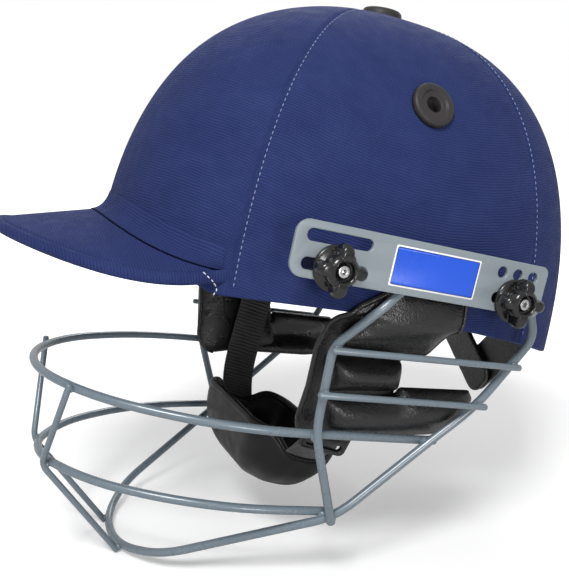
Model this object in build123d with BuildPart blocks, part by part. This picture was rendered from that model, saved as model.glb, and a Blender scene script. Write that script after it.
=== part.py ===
from build123d import *
import os
from math import atan2, cos, degrees, radians, sin, sqrt, tan

# A batting helmet: a cloth covered hard shell with a peak, a welded wire face guard that
# hangs on two side plates, padding, and a webbing chin strap with a moulded chin cup.
# Front is -Y, the wearer's left is +X, up is +Z. The origin lies in the middle of the
# head opening, level with the rim beside the ears.

os.makedirs("parts", exist_ok=True)

# Head form of the hard shell
dome_half_width = 98.5
dome_half_length = 127.0
dome_height = 157.0
dome_drop = 15.5
dome_lean = 11.7
dome_power = 2.5
plan_fullness_share = 0.64
plan_power = 2.3
dome_height_shares = (-0.06, 0.2, 0.45, 0.66, 0.82, 0.92, 0.975, 0.998)
cover_thickness = 1.0
shell_wall = 3.0
glue_line = 0.15
seat_gap = 0.1
running_clearance = 0.3
cut_overrun = 40.0

# Lower edge of the shell, seen from the side
rim_temple_reach = 88.0
rim_temple_height = 15.5
rim_ear_setback = 19.0
rim_ear_drop = 5.0
rim_nape_setback = 125.0
rim_nape_drop = 47.0
rim_brow_rise = 41.0
rim_brow_reach = 150.0
binding_depth = 1.2
seam_front_angle = 42.0
seam_rear_angle = 126.0

# Peak
peak_reach = 171.0
peak_half_width = 80.0
peak_corner_reach = 88.0
peak_nose_share = 0.475
peak_shoulder_share = 0.506
peak_tip_height = 40.0
peak_root_height = 44.5
peak_arch_radius = 140.0
peak_root_arch_radius = 152.0
peak_root_reach = 84.0
peak_board_thickness = 2.6
peak_cloth = 0.8

# Vent eyelets
eyelet_radius = 10.75
eyelet_thickness = 2.6
eyelet_bore_radius = 3.8
eyelet_barrel_radius = 6.0
eyelet_step_radius = 6.6
eyelet_step_depth = 0.9
eyelet_edge_round = 0.9
vent_height = 110.0
vent_setback = 7.0

# Comfort pads
comfort_pad_thickness = 9.0
crown_pad_width = 32.0
crown_pad_gap = 16.0
crown_pad_half_length = 60.0
crown_pad_base = 112.0
band_pad_height = 34.0
front_pad_angle = 48.0
front_pad_base = 31.0
side_pad_angle = 28.0
side_pad_base = 56.0
rear_pad_angle = 45.0
rear_pad_base = 28.0

# Side plates that carry the guard
plate_length = 130.0
plate_height = 24.0
plate_thickness = 2.0
plate_inner_x = 105.0
plate_tilt = 13.6
plate_centre_y = -1.0
plate_centre_z = 24.0
plate_corner_radius = 3.5
plate_row_offset = 5.9
slot_start = 60.0
slot_end = 29.0
hole_first = 39.3
hole_pitch = 8.7
hole_count = 3
front_bolt_place = 45.0
label_length = 44.5
label_height = 17.8
label_thickness = 0.3
label_shift = 4.2

# Bolts, spacers, washers and star knobs
bolt_radius = 2.5
bolt_clearance = 0.15
bolt_head_radius = 7.0
bolt_head_thickness = 1.8
bolt_socket_radius = 1.1
bolt_socket_depth = 2.5
spacer_radius = 7.0
knob_depth = 11.0
knob_hub_radius = 7.6
knob_lobe_radius = 2.9
knob_lobe_place = 8.3
knob_lobe_count = 4
knob_turn = 12.0
knob_valley_radius = 1.5
knob_collar_radius = 7.0
knob_collar_depth = 3.5
knob_recess_radius = 4.3
knob_recess_depth = 2.8
bolt_end_reach = 1.4

# Guard wires
loop_radius = 2.1
strut_radius = 1.55
cross_radius = 1.6
weld_gap = 0.0
wire_sides = 12
rest_steps = 12
upper_half_width = 85.5
upper_reach = 157.0
upper_start = 20.0
upper_front_drop = 28.5
upper_slope = 11.9
upper_knee_shares = ((1.0, 0.523), (0.64, 0.863), (0.205, 1.0))
upper_knee_radii = (130.0, 88.0, 63.0)
middle_half_width = 79.5
middle_reach = 158.0
middle_start = -35.0
middle_front_drop = 74.5
middle_slope = 9.6
middle_knee_shares = ((0.928, 0.587), (0.502, 0.893), (0.135, 1.0))
middle_knee_radii = (148.0, 86.0, 36.0)
lower_reach = 124.0
lower_front_drop = 127.5
lower_knee_x = 43.4
lower_knee_reach = 107.7
lower_nose_x = 16.0
lower_front_radius = 52.0
lower_slope = 19.4
foot_x = 84.0
foot_reach = 33.5
foot_radius = 45.0
rear_strut_top = (57.0, 8.0)
rear_strut_neck = (61.5, -14.0)
rear_strut_bend = (93.0, 38.0, -48.0)
rear_strut_knee = (89.4, 14.7, -63.7)
rear_strut_radii = (14.0, 60.0, 90.0)
side_bar_top = (-4.0, 20.5)
side_bar_neck = (-20.0, 8.5)
side_bar_bend = (97.0, -41.0, -8.0)
side_bar_knee = (89.2, -45.5, -50.0)
side_bar_foot = (88.3, -36.5, -97.0)
side_bar_radii = (20.0, 14.0, 60.0)
upper_cross_front = (101.1, -42.5, -8.6)
upper_cross_rear = (103.1, 54.5, -27.8)
lower_cross_front = (96.5, -47.0, -29.5)
lower_cross_rear = (97.3, 40.5, -47.5)
front_strut_top = (43.1, -146.6, -28.9)
front_strut_bend = (17.5, -160.9, -75.8)
front_strut_foot = (17.0, -126.6, -129.3)
front_strut_radius = 10.0

# Ear pads
ear_pad_length = 100.0
ear_pad_height = 76.0
ear_pad_front = -53.0
ear_pad_bottom = -64.0
ear_pad_thickness = 12.0
ear_pad_crown = 3.0
ear_pad_outline_shares = (
    (0.16, 0.803),
    (0.47, 0.987),
    (0.91, 0.862),
    (0.73, 0.553),
    (0.56, 0.507),
    (0.53, 0.303),
    (0.985, 0.243),
    (0.89, 0.0),
    (0.0, 0.026),
    (0.11, 0.553),
)
ear_pad_corner_radii = (8.0, 6.0, 5.0, 12.0, 3.5, 3.5, 4.0, 6.0, 5.0, 20.0)
guard_lean = 14.7
pad_face_x = 98.8
pad_face_z = 13.0
pad_flange_x = 92.0
pad_flange_outer_x = 102.4
pad_flange_shares = ((0.53, 0.75), (0.53, 1.0), (0.9, 0.91), (0.91, 0.85), (0.86, 0.72))
pad_rim_gap = 0.5

# Chin strap and cup
anchor_y = 6.0
anchor_z = 20.0
strap_width = 20.0
strap_thickness = 1.8
strap_lean = 22.3
strap_tab_x = 91.4
strap_tab_rise = 8.0
strap_tab_drop = 8.0
strap_top_x = 78.5
strap_top_drop = 22.0
strap_turn_x = 62.0
strap_turn_drop = 95.0
strap_cup_x = 35.0
strap_cup_drop = 121.0
strap_radii = (12.0, 25.0, 40.0, 40.0, 60.0)
rivet_radius = 2.5
rivet_head_radius = 5.0
rivet_head_thickness = 1.2
rivet_head_sag = 0.3
cup_half_length = 52.0
cup_radius = 27.0
cup_wall = 2.5
cup_centre_drop = 108.0
cup_rim_rise = 8.0
cup_fullness_share = 0.6
cup_corner_radius = 21.0
cup_slot_width = 22.0
cup_slot_height = 6.5

# Nape straps
nape_strap_width = 24.0
nape_strap_thickness = 3.0
nape_strap_corner_radius = 8.0
nape_strap_setback = 107.0
nape_strap_top = (47.0, -23.0)
nape_strap_end = (-9.0, -73.0)
nape_strap_step = 3.3

dome_plane = Plane(
    origin=(0, 0, -dome_drop),
    x_dir=(1, 0, 0),
    z_dir=(0, sin(radians(dome_lean)), cos(radians(dome_lean))),
)
wide = 2 * (dome_half_length + cut_overrun)


def profile_share(height_share):
    """How wide the dome is at a share of its height, against its widest place."""
    return (1 - abs(height_share) ** dome_power) ** (1 / dome_power)


def oval(half_x, half_y):
    """A full oval of four curves, a little squarer than an ellipse."""
    full = plan_fullness_share
    for side_x, side_y in ((1, 1), (-1, 1), (-1, -1), (1, -1)):
        Bezier(
            (side_x * half_x, 0),
            (side_x * half_x, full * side_y * half_y),
            (full * side_x * half_x, side_y * half_y),
            (0, side_y * half_y),
        )


def dome(growth):
    """The solid inside the dome's outer surface, moved outwards by growth."""
    with BuildPart() as body:
        for height_share in dome_height_shares:
            share = profile_share(height_share)
            with BuildSketch(dome_plane.offset(height_share * (dome_height + growth))):
                with BuildLine():
                    oval((dome_half_width + growth) * share, (dome_half_length + growth) * share)
                make_face()
        loft()
    return body.part


def above_rim(lift):
    """Everything above the rim line moved up by lift, as seen from the side."""
    with BuildPart() as body:
        with BuildSketch(Plane.YZ):
            with BuildLine():
                temple = (-rim_temple_reach, rim_temple_height + lift)
                nape = (rim_nape_setback + cut_overrun, lift - rim_nape_drop - cut_overrun / 2)
                ThreePointArc(temple, (rim_ear_setback, lift - rim_ear_drop), nape)
                Polyline(
                    nape,
                    (rim_nape_setback + cut_overrun, wide),
                    (-rim_brow_reach, wide),
                    (-rim_brow_reach, rim_temple_height + rim_brow_rise + lift),
                    temple,
                )
            make_face()
        extrude(amount=wide / 2, both=True)
    return body.part


outer_dome = dome(0)
around_dome = dome(seat_gap)
under_cover = dome(-cover_thickness)
shell_outside = dome(-cover_thickness - glue_line)
inside_dome = dome(-cover_thickness - shell_wall)
liner_space = dome(-cover_thickness - shell_wall - running_clearance)
above_shell_rim = above_rim(0)


def plate_point(along, up):
    """A place on a side plate as Y and Z, from the plate's middle."""
    tilt = radians(plate_tilt)
    return (
        plate_centre_y + along * cos(tilt) + up * sin(tilt),
        plate_centre_z - along * sin(tilt) + up * cos(tilt),
    )


bolt_places = {
    "front": plate_point(-front_bolt_place, -plate_row_offset),
    "rear": plate_point(hole_first + hole_pitch, -plate_row_offset),
}
sides = {"left": 1, "right": -1}


def side_plane(side, x, y=0, z=0):
    """A plane that faces out of one side, at x from the middle, with Y along and Z up."""
    return Plane(origin=(side * x, y, z), x_dir=(0, 1, 0), z_dir=(side, 0, 0))


def vent_plane(side):
    """The plane on the dome's outer surface where a side vent sits."""
    height_share = vent_height / dome_height
    x = dome_half_width * profile_share(height_share)
    steep = (x / dome_half_width) ** (dome_power - 1) / dome_half_width
    lie = height_share ** (dome_power - 1) / dome_height
    place = dome_plane.from_local_coords(Vector(side * x, -vent_setback, vent_height))
    normal = dome_plane.from_local_coords(Vector(side * steep, 0, lie)) - dome_plane.origin
    return Plane(origin=place, z_dir=normal)


vent_planes = {
    "left": vent_plane(1),
    "right": vent_plane(-1),
    "crown": dome_plane.offset(dome_height * dome_height_shares[-1]),
}


def shell_hole_pins():
    """Pins that bore the shell and cover for the vents, the bolts and the strap rivets."""
    with BuildPart() as pins:
        for plane in vent_planes.values():
            with BuildSketch(plane.offset(-cut_overrun / 2)):
                Circle(eyelet_barrel_radius + bolt_clearance)
            extrude(amount=cut_overrun)
        for side in sides.values():
            for y, z in list(bolt_places.values()) + [(anchor_y, anchor_z)]:
                with BuildSketch(side_plane(side, dome_half_width - cut_overrun, y, z)):
                    Circle(bolt_radius + bolt_clearance)
                extrude(amount=2 * cut_overrun)
    return pins.part


shell_pins = shell_hole_pins()

with BuildPart() as shell:
    add(shell_outside)
    add(inside_dome, mode=Mode.SUBTRACT)
    add(above_shell_rim, mode=Mode.INTERSECT)
    add(shell_pins, mode=Mode.SUBTRACT)
shell.part.label = "shell"
export_step(shell.part, "parts/shell.step")


def sector(start, end):
    """A tall wedge about the dome's own axis, between two angles from the front."""
    with BuildPart() as wedge:
        with BuildSketch(dome_plane.offset(-cut_overrun)):
            with BuildLine():
                arc = CenterArc((0, 0), wide, start - 90, end - start)
                Polyline(arc @ 1, (0, 0), arc @ 0)
            make_face()
        extrude(amount=dome_height + 2 * cut_overrun)
    return wedge.part


cover_sectors = {
    "cover_front": (-seam_front_angle, seam_front_angle),
    "cover_left": (seam_front_angle, seam_rear_angle),
    "cover_rear": (seam_rear_angle, 360 - seam_rear_angle),
    "cover_right": (360 - seam_rear_angle, 360 - seam_front_angle),
}
with BuildPart() as cover:
    add(outer_dome)
    add(under_cover, mode=Mode.SUBTRACT)
    add(above_shell_rim, mode=Mode.INTERSECT)
    add(shell_pins, mode=Mode.SUBTRACT)
for name, (start, end) in cover_sectors.items():
    with BuildPart() as panel:
        add(cover.part)
        add(sector(start, end), mode=Mode.INTERSECT)
    panel.part.label = name
    export_step(panel.part, f"parts/{name}.step")

with BuildPart() as binding:
    add(outer_dome)
    add(inside_dome, mode=Mode.SUBTRACT)
    add(above_rim(-binding_depth), mode=Mode.INTERSECT)
    add(above_shell_rim, mode=Mode.SUBTRACT)
binding.part.label = "rim_binding"
export_step(binding.part, "parts/rim_binding.step")


def arch_face(reach, height, arch_radius, thickness):
    """The curved cross-section of the peak at one distance in front of the origin."""
    span = peak_half_width + cut_overrun / 2
    edge = height - arch_radius + sqrt(arch_radius**2 - span**2)
    with BuildSketch(Plane(origin=(0, -reach, 0), x_dir=(1, 0, 0), z_dir=(0, -1, 0))) as arch:
        with BuildLine():
            top = ThreePointArc((-span, edge), (0, height), (span, edge))
            under = ThreePointArc(
                (-span, edge - thickness), (0, height - thickness), (span, edge - thickness)
            )
            Line(top @ 0, under @ 0)
            Line(top @ 1, under @ 1)
        make_face()
    return arch.sketch


def blade(skin):
    """The peak's curved blade, grown on every free face by skin."""
    thickness = peak_board_thickness + 2 * skin
    front = arch_face(peak_reach + cut_overrun, peak_tip_height + skin, peak_arch_radius + skin, thickness)
    root = arch_face(peak_root_reach, peak_root_height + skin, peak_root_arch_radius + skin, thickness)
    with BuildPart() as body:
        loft(sections=[front, root], ruled=True)
        with BuildSketch(Plane.XY.offset(-wide / 4)):
            with BuildLine():
                across = peak_half_width + skin
                reach = peak_reach + skin
                shoulder = peak_corner_reach + peak_shoulder_share * (reach - peak_corner_reach)
                for side in sides.values():
                    Bezier(
                        (side * across, -peak_corner_reach),
                        (side * across, -shoulder),
                        (side * peak_nose_share * across, -reach),
                        (0, -reach),
                    )
                Polyline(
                    (-across, -peak_corner_reach), (-across, 0), (across, 0), (across, -peak_corner_reach)
                )
            make_face()
        extrude(amount=wide, mode=Mode.INTERSECT)
    return body.part


with BuildPart() as peak_board:
    add(blade(0))
    add(around_dome, mode=Mode.SUBTRACT)
peak_board.part.label = "peak_board"
export_step(peak_board.part, "parts/peak_board.step")

with BuildPart() as peak_cover:
    add(blade(peak_cloth))
    add(blade(0), mode=Mode.SUBTRACT)
    add(around_dome, mode=Mode.SUBTRACT)
peak_cover.part.label = "peak_cover"
export_step(peak_cover.part, "parts/peak_cover.step")


with BuildPart() as eyelets:
    for plane in vent_planes.values():
        with BuildPart() as head:
            with BuildSketch(plane.offset(seat_gap)):
                Circle(eyelet_radius)
            extrude(amount=eyelet_thickness - seat_gap)
            chamfer(head.edges().sort_by(Axis(plane.origin, plane.z_dir))[-1], eyelet_edge_round)
            with BuildSketch(plane.offset(-cover_thickness - shell_wall)):
                Circle(eyelet_barrel_radius)
            extrude(amount=cover_thickness + shell_wall + eyelet_thickness / 2)
            with BuildSketch(plane.offset(eyelet_thickness)):
                Circle(eyelet_step_radius)
            extrude(amount=-eyelet_step_depth, mode=Mode.SUBTRACT)
            with BuildSketch(plane.offset(-cut_overrun)):
                Circle(eyelet_bore_radius)
            extrude(amount=2 * cut_overrun, mode=Mode.SUBTRACT)
        add(head.part)
eyelets.part.label = "vent_eyelets"
export_step(eyelets.part, "parts/vent_eyelets.step")


def height_slab(low, high):
    """Everything between two heights above the dome's own base plane."""
    with BuildPart() as slab:
        with BuildSketch(dome_plane.offset(low)):
            Rectangle(wide, wide)
        extrude(amount=high - low)
    return slab.part


with BuildPart() as liner:
    add(liner_space)
    add(dome(-cover_thickness - shell_wall - running_clearance - comfort_pad_thickness), mode=Mode.SUBTRACT)

band_pads = {
    "front_pad": (-front_pad_angle, front_pad_angle, front_pad_base),
    "side_pad_left": (90 - side_pad_angle, 90 + side_pad_angle, side_pad_base),
    "side_pad_right": (270 - side_pad_angle, 270 + side_pad_angle, side_pad_base),
    "rear_pad": (180 - rear_pad_angle, 180 + rear_pad_angle, rear_pad_base),
}
for name, (start, end, base) in band_pads.items():
    with BuildPart() as pad:
        add(height_slab(base, base + band_pad_height))
        add(sector(start, end), mode=Mode.INTERSECT)
        add(liner.part, mode=Mode.INTERSECT)
    pad.part.label = name
    export_step(pad.part, f"parts/{name}.step")

for side_name, side in sides.items():
    with BuildPart() as crown_pad:
        with BuildSketch(dome_plane.offset(crown_pad_base)):
            with Locations((side * (crown_pad_gap + crown_pad_width) / 2, 0)):
                Rectangle(crown_pad_width, 2 * crown_pad_half_length)
        extrude(amount=dome_height)
        add(liner.part, mode=Mode.INTERSECT)
    crown_pad.part.label = f"crown_pad_{side_name}"
    export_step(crown_pad.part, f"parts/crown_pad_{side_name}.step")


def plate_plane(side, x):
    """The plane of a side plate at x from the middle: first axis rearwards along the plate."""
    tilt = radians(plate_tilt)
    return Plane(
        origin=(side * x, plate_centre_y, plate_centre_z),
        x_dir=(0, cos(tilt), -sin(tilt)),
        z_dir=(side, 0, 0),
    )


plate_outer_x = plate_inner_x + plate_thickness
knob_seat_x = plate_outer_x + seat_gap
slot_middle = -(slot_start + slot_end) / 2
for side_name, side in sides.items():
    with BuildPart() as plate:
        with BuildSketch(plate_plane(side, plate_inner_x)):
            RectangleRounded(plate_length, plate_height, plate_corner_radius)
            with Locations((slot_middle, plate_row_offset), (slot_middle, -plate_row_offset)):
                SlotOverall(slot_start - slot_end, 2 * (bolt_radius + bolt_clearance), mode=Mode.SUBTRACT)
            for hole in range(hole_count):
                along = hole_first + hole * hole_pitch
                with Locations((along, plate_row_offset), (along, -plate_row_offset)):
                    Circle(bolt_radius + bolt_clearance, mode=Mode.SUBTRACT)
        extrude(amount=plate_thickness)
    plate.part.label = f"side_plate_{side_name}"
    export_step(plate.part, f"parts/side_plate_{side_name}.step")

    with BuildPart() as label:
        with BuildSketch(plate_plane(side, plate_outer_x)):
            with Locations((label_shift, 0)):
                Rectangle(label_length, label_height)
        extrude(amount=label_thickness)
    label.part.label = f"label_{side_name}"
    export_step(label.part, f"parts/label_{side_name}.step")


def wall_x(y, z, growth):
    """How far out the dome's surface, moved out by growth, lies beside a place."""
    local = dome_plane.to_local_coords(Vector(0, y, z))
    share = profile_share(local.Z / (dome_height + growth))
    along = abs(local.Y) / ((dome_half_length + growth) * share)
    return (dome_half_width + growth) * share * (1 - along**plan_power) ** (1 / plan_power)


def wall_plane(side, y, z, growth):
    """The flat that touches the dome's surface, moved out by growth, beside a place."""
    middle = wall_x(y, z, growth)
    fall_back = wall_x(y, z, growth) - wall_x(y + 1, z, growth)
    fall_up = wall_x(y, z, growth) - wall_x(y, z + 1, growth)
    return Plane(origin=(side * middle, y, z), z_dir=(side, fall_back, fall_up))


knob_face_x = knob_seat_x + knob_depth
bolt_end_x = knob_face_x - knob_recess_depth + bolt_end_reach
with BuildPart() as bolts:
    for side in sides.values():
        for y, z in bolt_places.values():
            inside = -cover_thickness - shell_wall - seat_gap
            head_x = min(
                wall_x(y + across, z + up, inside)
                for across in (-bolt_head_radius, 0, bolt_head_radius)
                for up in (-bolt_head_radius, 0, bolt_head_radius)
            )
            head_x -= bolt_head_thickness
            with BuildPart() as bolt:
                with BuildSketch(side_plane(side, head_x, y, z)):
                    Circle(bolt_head_radius)
                extrude(amount=bolt_head_thickness)
                with BuildSketch(side_plane(side, head_x, y, z)):
                    Circle(bolt_radius)
                extrude(amount=bolt_end_x - head_x)
                with BuildSketch(side_plane(side, bolt_end_x, y, z)):
                    Circle(bolt_socket_radius)
                extrude(amount=-bolt_socket_depth, mode=Mode.SUBTRACT)
            add(bolt.part)
bolts.part.label = "plate_bolts"
export_step(bolts.part, "parts/plate_bolts.step")

with BuildPart() as spacers:
    for side in sides.values():
        for y, z in bolt_places.values():
            with BuildPart() as spacer:
                with BuildSketch(side_plane(side, plate_inner_x - seat_gap, y, z)):
                    Circle(spacer_radius)
                    Circle(bolt_radius + bolt_clearance, mode=Mode.SUBTRACT)
                extrude(amount=-cut_overrun / 2)
                split(bisect_by=wall_plane(side, y, z, seat_gap), keep=Keep.TOP)
            add(spacer.part)
spacers.part.label = "plate_spacers"
export_step(spacers.part, "parts/plate_spacers.step")

for side_name, side in sides.items():
    for place_name, (y, z) in bolt_places.items():
        with BuildPart() as knob:
            with BuildSketch(side_plane(side, knob_seat_x, y, z)):
                Circle(knob_collar_radius)
            extrude(amount=knob_collar_depth)
            with BuildSketch(side_plane(side, knob_seat_x + knob_collar_depth, y, z)) as star:
                Circle(knob_hub_radius)
                with PolarLocations(knob_lobe_place, knob_lobe_count, start_angle=-knob_turn):
                    Circle(knob_lobe_radius)
                fillet(star.vertices(), knob_valley_radius)
            extrude(amount=knob_depth - knob_collar_depth)
            with BuildSketch(side_plane(side, knob_face_x, y, z)):
                Circle(knob_recess_radius)
            extrude(amount=-knob_recess_depth, mode=Mode.SUBTRACT)
            with BuildSketch(side_plane(side, knob_seat_x - cut_overrun, y, z)):
                Circle(bolt_radius + bolt_clearance)
            extrude(amount=2 * cut_overrun, mode=Mode.SUBTRACT)
        knob.part.label = f"knob_{place_name}_{side_name}"
        export_step(knob.part, f"parts/knob_{place_name}_{side_name}.step")


def centre_line(points, radii):
    """Straight runs joined by bends, one radius for each inner corner."""
    with BuildLine() as route:
        if radii:
            FilletPolyline(*points, radius=list(radii))
        else:
            Line(*points)
    return route.line


def wire_bar(points, radii, radius):
    """A steel wire along a centre line."""
    route = centre_line(points, radii)
    with BuildPart() as bar:
        with BuildSketch(Plane(origin=route @ 0, z_dir=route % 0)):
            RegularPolygon(radius, wire_sides)
        sweep(path=route)
    return bar.part


def rest(points, radii, moved, push, partner, clear):
    """Push some corners of a wire away from a partner's centre line until both just touch."""
    push = Vector(*push).normalized()
    for _ in range(rest_steps):
        short = clear - centre_line(points, radii).distance_to(partner)
        for index in moved:
            points[index] = tuple(Vector(*points[index]) + push * short)
    return points


def flip(point):
    """The same place on the wearer's right side."""
    return (-point[0], point[1], point[2])


def whole(half):
    """A symmetrical row of points from its left half."""
    return half + [flip(point) for point in reversed(half)]


def loop_points(half_width, reach, start, front_drop, slope, knee_shares):
    """The corners of a guard loop that lies in one sloping plane."""
    half = [(half_width, start)]
    for across_share, reach_share in knee_shares:
        half.append((half_width * across_share, -reach * reach_share))
    fall = tan(radians(slope))
    return whole([(x, y, -front_drop - (y + reach) * fall) for x, y in half])


upper_points = loop_points(
    upper_half_width, upper_reach, upper_start, upper_front_drop, upper_slope, upper_knee_shares
)
middle_points = loop_points(
    middle_half_width, middle_reach, middle_start, middle_front_drop, middle_slope, middle_knee_shares
)
rise = tan(radians(lower_slope))
strut_x = plate_inner_x - loop_radius - weld_gap
side_by_side = 2 * loop_radius + weld_gap
upper_radii = upper_knee_radii + upper_knee_radii[::-1]
middle_radii = middle_knee_radii + middle_knee_radii[::-1]
upper_line = centre_line(upper_points, upper_radii)
middle_line = centre_line(middle_points, middle_radii)

lower_half = [
    (strut_x, *rear_strut_top),
    (strut_x, *rear_strut_neck),
    rear_strut_bend,
    rear_strut_knee,
    (foot_x, -foot_reach, (lower_reach - foot_reach) * rise - lower_front_drop),
    (lower_knee_x, -lower_knee_reach, (lower_reach - lower_knee_reach) * rise - lower_front_drop),
    (lower_nose_x, -lower_reach, -lower_front_drop),
]
lower_half_radii = list(rear_strut_radii) + [foot_radius, lower_front_radius]
rest(lower_half, lower_half_radii, (4,), (1, 0, 0), middle_line, side_by_side)
rest(lower_half, lower_half_radii, (3,), (1, 0, 0), upper_line, side_by_side)
lower_points = whole(lower_half)
lower_half_radii.append(lower_front_radius)
lower_radii = lower_half_radii + lower_half_radii[::-1]
lower_line = centre_line(lower_points, lower_radii)

side_bar_points = [
    (strut_x, *side_bar_top),
    (strut_x, *side_bar_neck),
    side_bar_bend,
    side_bar_knee,
    side_bar_foot,
]
rest(side_bar_points, side_bar_radii, (3,), (1, 0, 0), upper_line, side_by_side)
rest(side_bar_points, side_bar_radii, (4,), (1, 0, 0), lower_line, side_by_side)
side_bar_line = centre_line(side_bar_points, side_bar_radii)

cross_bars = {
    "upper_cross_bar": [upper_cross_front, upper_cross_rear],
    "lower_cross_bar": [lower_cross_front, lower_cross_rear],
}
cross_clear = loop_radius + cross_radius + weld_gap
for points in cross_bars.values():
    rest(points, (), (0,), (1, 0, 0), side_bar_line, cross_clear)
    rest(points, (), (1,), (1, 0, 0), lower_line, cross_clear)
    rest(points, (), (0,), (1, 0, 0), side_bar_line, cross_clear)

front_strut_points = [front_strut_top, front_strut_bend, front_strut_foot]
front_strut_radii = (front_strut_radius,)
strut_clear = loop_radius + strut_radius + weld_gap
rest(front_strut_points, front_strut_radii, (1,), (0, -1, 0), middle_line, strut_clear)
rest(front_strut_points, front_strut_radii, (0,), (0, -1, 0), upper_line, strut_clear)
rest(front_strut_points, front_strut_radii, (2,), (0, -1, 0), lower_line, strut_clear)

guard_bars = {
    "guard_upper_loop": (upper_points, upper_radii),
    "guard_middle_loop": (middle_points, middle_radii),
    "guard_lower_bar": (lower_points, lower_radii),
}
for name, (points, radii) in guard_bars.items():
    with BuildPart() as loop:
        add(wire_bar(points, radii, loop_radius))
    loop.part.label = name
    export_step(loop.part, f"parts/{name}.step")

short_bars = {
    "side_bar": (side_bar_points, side_bar_radii, loop_radius),
    "upper_cross_bar": (cross_bars["upper_cross_bar"], (), cross_radius),
    "lower_cross_bar": (cross_bars["lower_cross_bar"], (), cross_radius),
    "front_strut": (front_strut_points, front_strut_radii, strut_radius),
}
for bar_name, (points, radii, radius) in short_bars.items():
    for side_name, side in sides.items():
        with BuildPart() as bar:
            add(wire_bar([(side * x, y, z) for x, y, z in points], radii, radius))
        bar.part.label = f"{bar_name}_{side_name}"
        export_step(bar.part, f"parts/{bar_name}_{side_name}.step")


def pad_corner(shares):
    """A corner of the ear pad's outline as Y and Z."""
    return (ear_pad_front + shares[0] * ear_pad_length, ear_pad_bottom + shares[1] * ear_pad_height)


lean = radians(guard_lean)
pad_plane = Plane(origin=(pad_face_x, 0, pad_face_z), x_dir=(0, 1, 0), z_dir=(cos(lean), 0, -sin(lean)))
with BuildPart() as shell_envelope:
    add(around_dome)
    add(above_rim(-binding_depth - pad_rim_gap), mode=Mode.INTERSECT)
with BuildPart() as ear_pad:
    with BuildSketch(pad_plane.offset(-ear_pad_thickness / 2)):
        with BuildLine():
            corners = [pad_corner(shares) for shares in ear_pad_outline_shares]
            FilletPolyline(
                *[(y, (z - pad_face_z) / cos(lean)) for y, z in corners],
                radius=ear_pad_corner_radii,
                close=True,
            )
        make_face()
    extrude(amount=ear_pad_thickness / 2, both=True, taper=degrees(atan2(ear_pad_crown, ear_pad_thickness / 2)))
    with BuildSketch(side_plane(1, pad_flange_x)):
        with BuildLine():
            Polyline(*[pad_corner(shares) for shares in pad_flange_shares], close=True)
        make_face()
    extrude(amount=pad_flange_outer_x - pad_flange_x)
    add(shell_envelope.part, mode=Mode.SUBTRACT)
ear_pad.part.label = "ear_pad_left"
export_step(ear_pad.part, "parts/ear_pad_left.step")
with BuildPart() as right_ear_pad:
    add(mirror(ear_pad.part, about=Plane.YZ, mode=Mode.PRIVATE))
right_ear_pad.part.label = "ear_pad_right"
export_step(right_ear_pad.part, "parts/ear_pad_right.step")

strap_angle = radians(strap_lean)
strap_plane = Plane(
    origin=(0, anchor_y, anchor_z),
    x_dir=(1, 0, 0),
    z_dir=(0, -cos(strap_angle), sin(strap_angle)),
)
strap_half = [
    (strap_tab_x, strap_tab_rise),
    (strap_tab_x, -strap_tab_drop),
    (strap_top_x, -strap_top_drop),
    (strap_turn_x, -strap_turn_drop),
    (strap_cup_x, -strap_cup_drop),
]
strap_middle_drop = cup_centre_drop + cup_radius - cup_wall - strap_thickness / 2 - seat_gap
strap_points = strap_half + [(0, -strap_middle_drop)] + [(-x, y) for x, y in reversed(strap_half)]
with BuildPart() as strap:
    with BuildSketch(strap_plane):
        with BuildLine():
            FilletPolyline(*strap_points, radius=list(strap_radii + strap_radii[-2::-1]))
        trace(line_width=strap_thickness)
    extrude(amount=strap_width / 2, both=True)
    with BuildSketch(side_plane(1, -wide / 2, anchor_y, anchor_z)):
        Circle(rivet_radius + bolt_clearance)
    extrude(amount=wide, mode=Mode.SUBTRACT)
strap.part.label = "chin_strap"
export_step(strap.part, "parts/chin_strap.step")

rivet_inner_x = strap_tab_x - strap_thickness / 2 - seat_gap - rivet_head_thickness
rivet_outer_x = wall_x(anchor_y, anchor_z, seat_gap) + rivet_head_sag + rivet_head_thickness
with BuildPart() as rivets:
    for side in sides.values():
        with BuildPart() as rivet:
            with BuildSketch(side_plane(side, rivet_outer_x, anchor_y, anchor_z)):
                Circle(rivet_head_radius)
            extrude(amount=-rivet_head_thickness)
            with BuildSketch(side_plane(side, rivet_inner_x, anchor_y, anchor_z)):
                Circle(rivet_head_radius)
            extrude(amount=rivet_head_thickness)
            with BuildSketch(side_plane(side, rivet_inner_x, anchor_y, anchor_z)):
                Circle(rivet_radius)
            extrude(amount=rivet_outer_x - rivet_inner_x)
        add(rivet.part)
rivets.part.label = "strap_rivets"
export_step(rivets.part, "parts/strap_rivets.step")


cup_rim_drop = cup_centre_drop - cup_rim_rise
cross_plane = Plane(origin=strap_plane.origin, x_dir=strap_plane.z_dir, z_dir=-strap_plane.x_dir)
down_plane = Plane(origin=strap_plane.origin, x_dir=strap_plane.x_dir, z_dir=strap_plane.y_dir)


def hollow_line(half_length, depth):
    """A round bottomed outline hanging from the cup's rim, closed straight across."""
    full = cup_fullness_share
    with BuildSketch() as outline:
        with BuildLine():
            for side in sides.values():
                Bezier(
                    (side * half_length, -cup_rim_drop),
                    (side * half_length, -cup_rim_drop - full * depth),
                    (side * full * half_length, -cup_rim_drop - depth),
                    (0, -cup_rim_drop - depth),
                )
            Line((-half_length, -cup_rim_drop), (half_length, -cup_rim_drop))
        make_face()
    return outline.sketch


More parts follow.
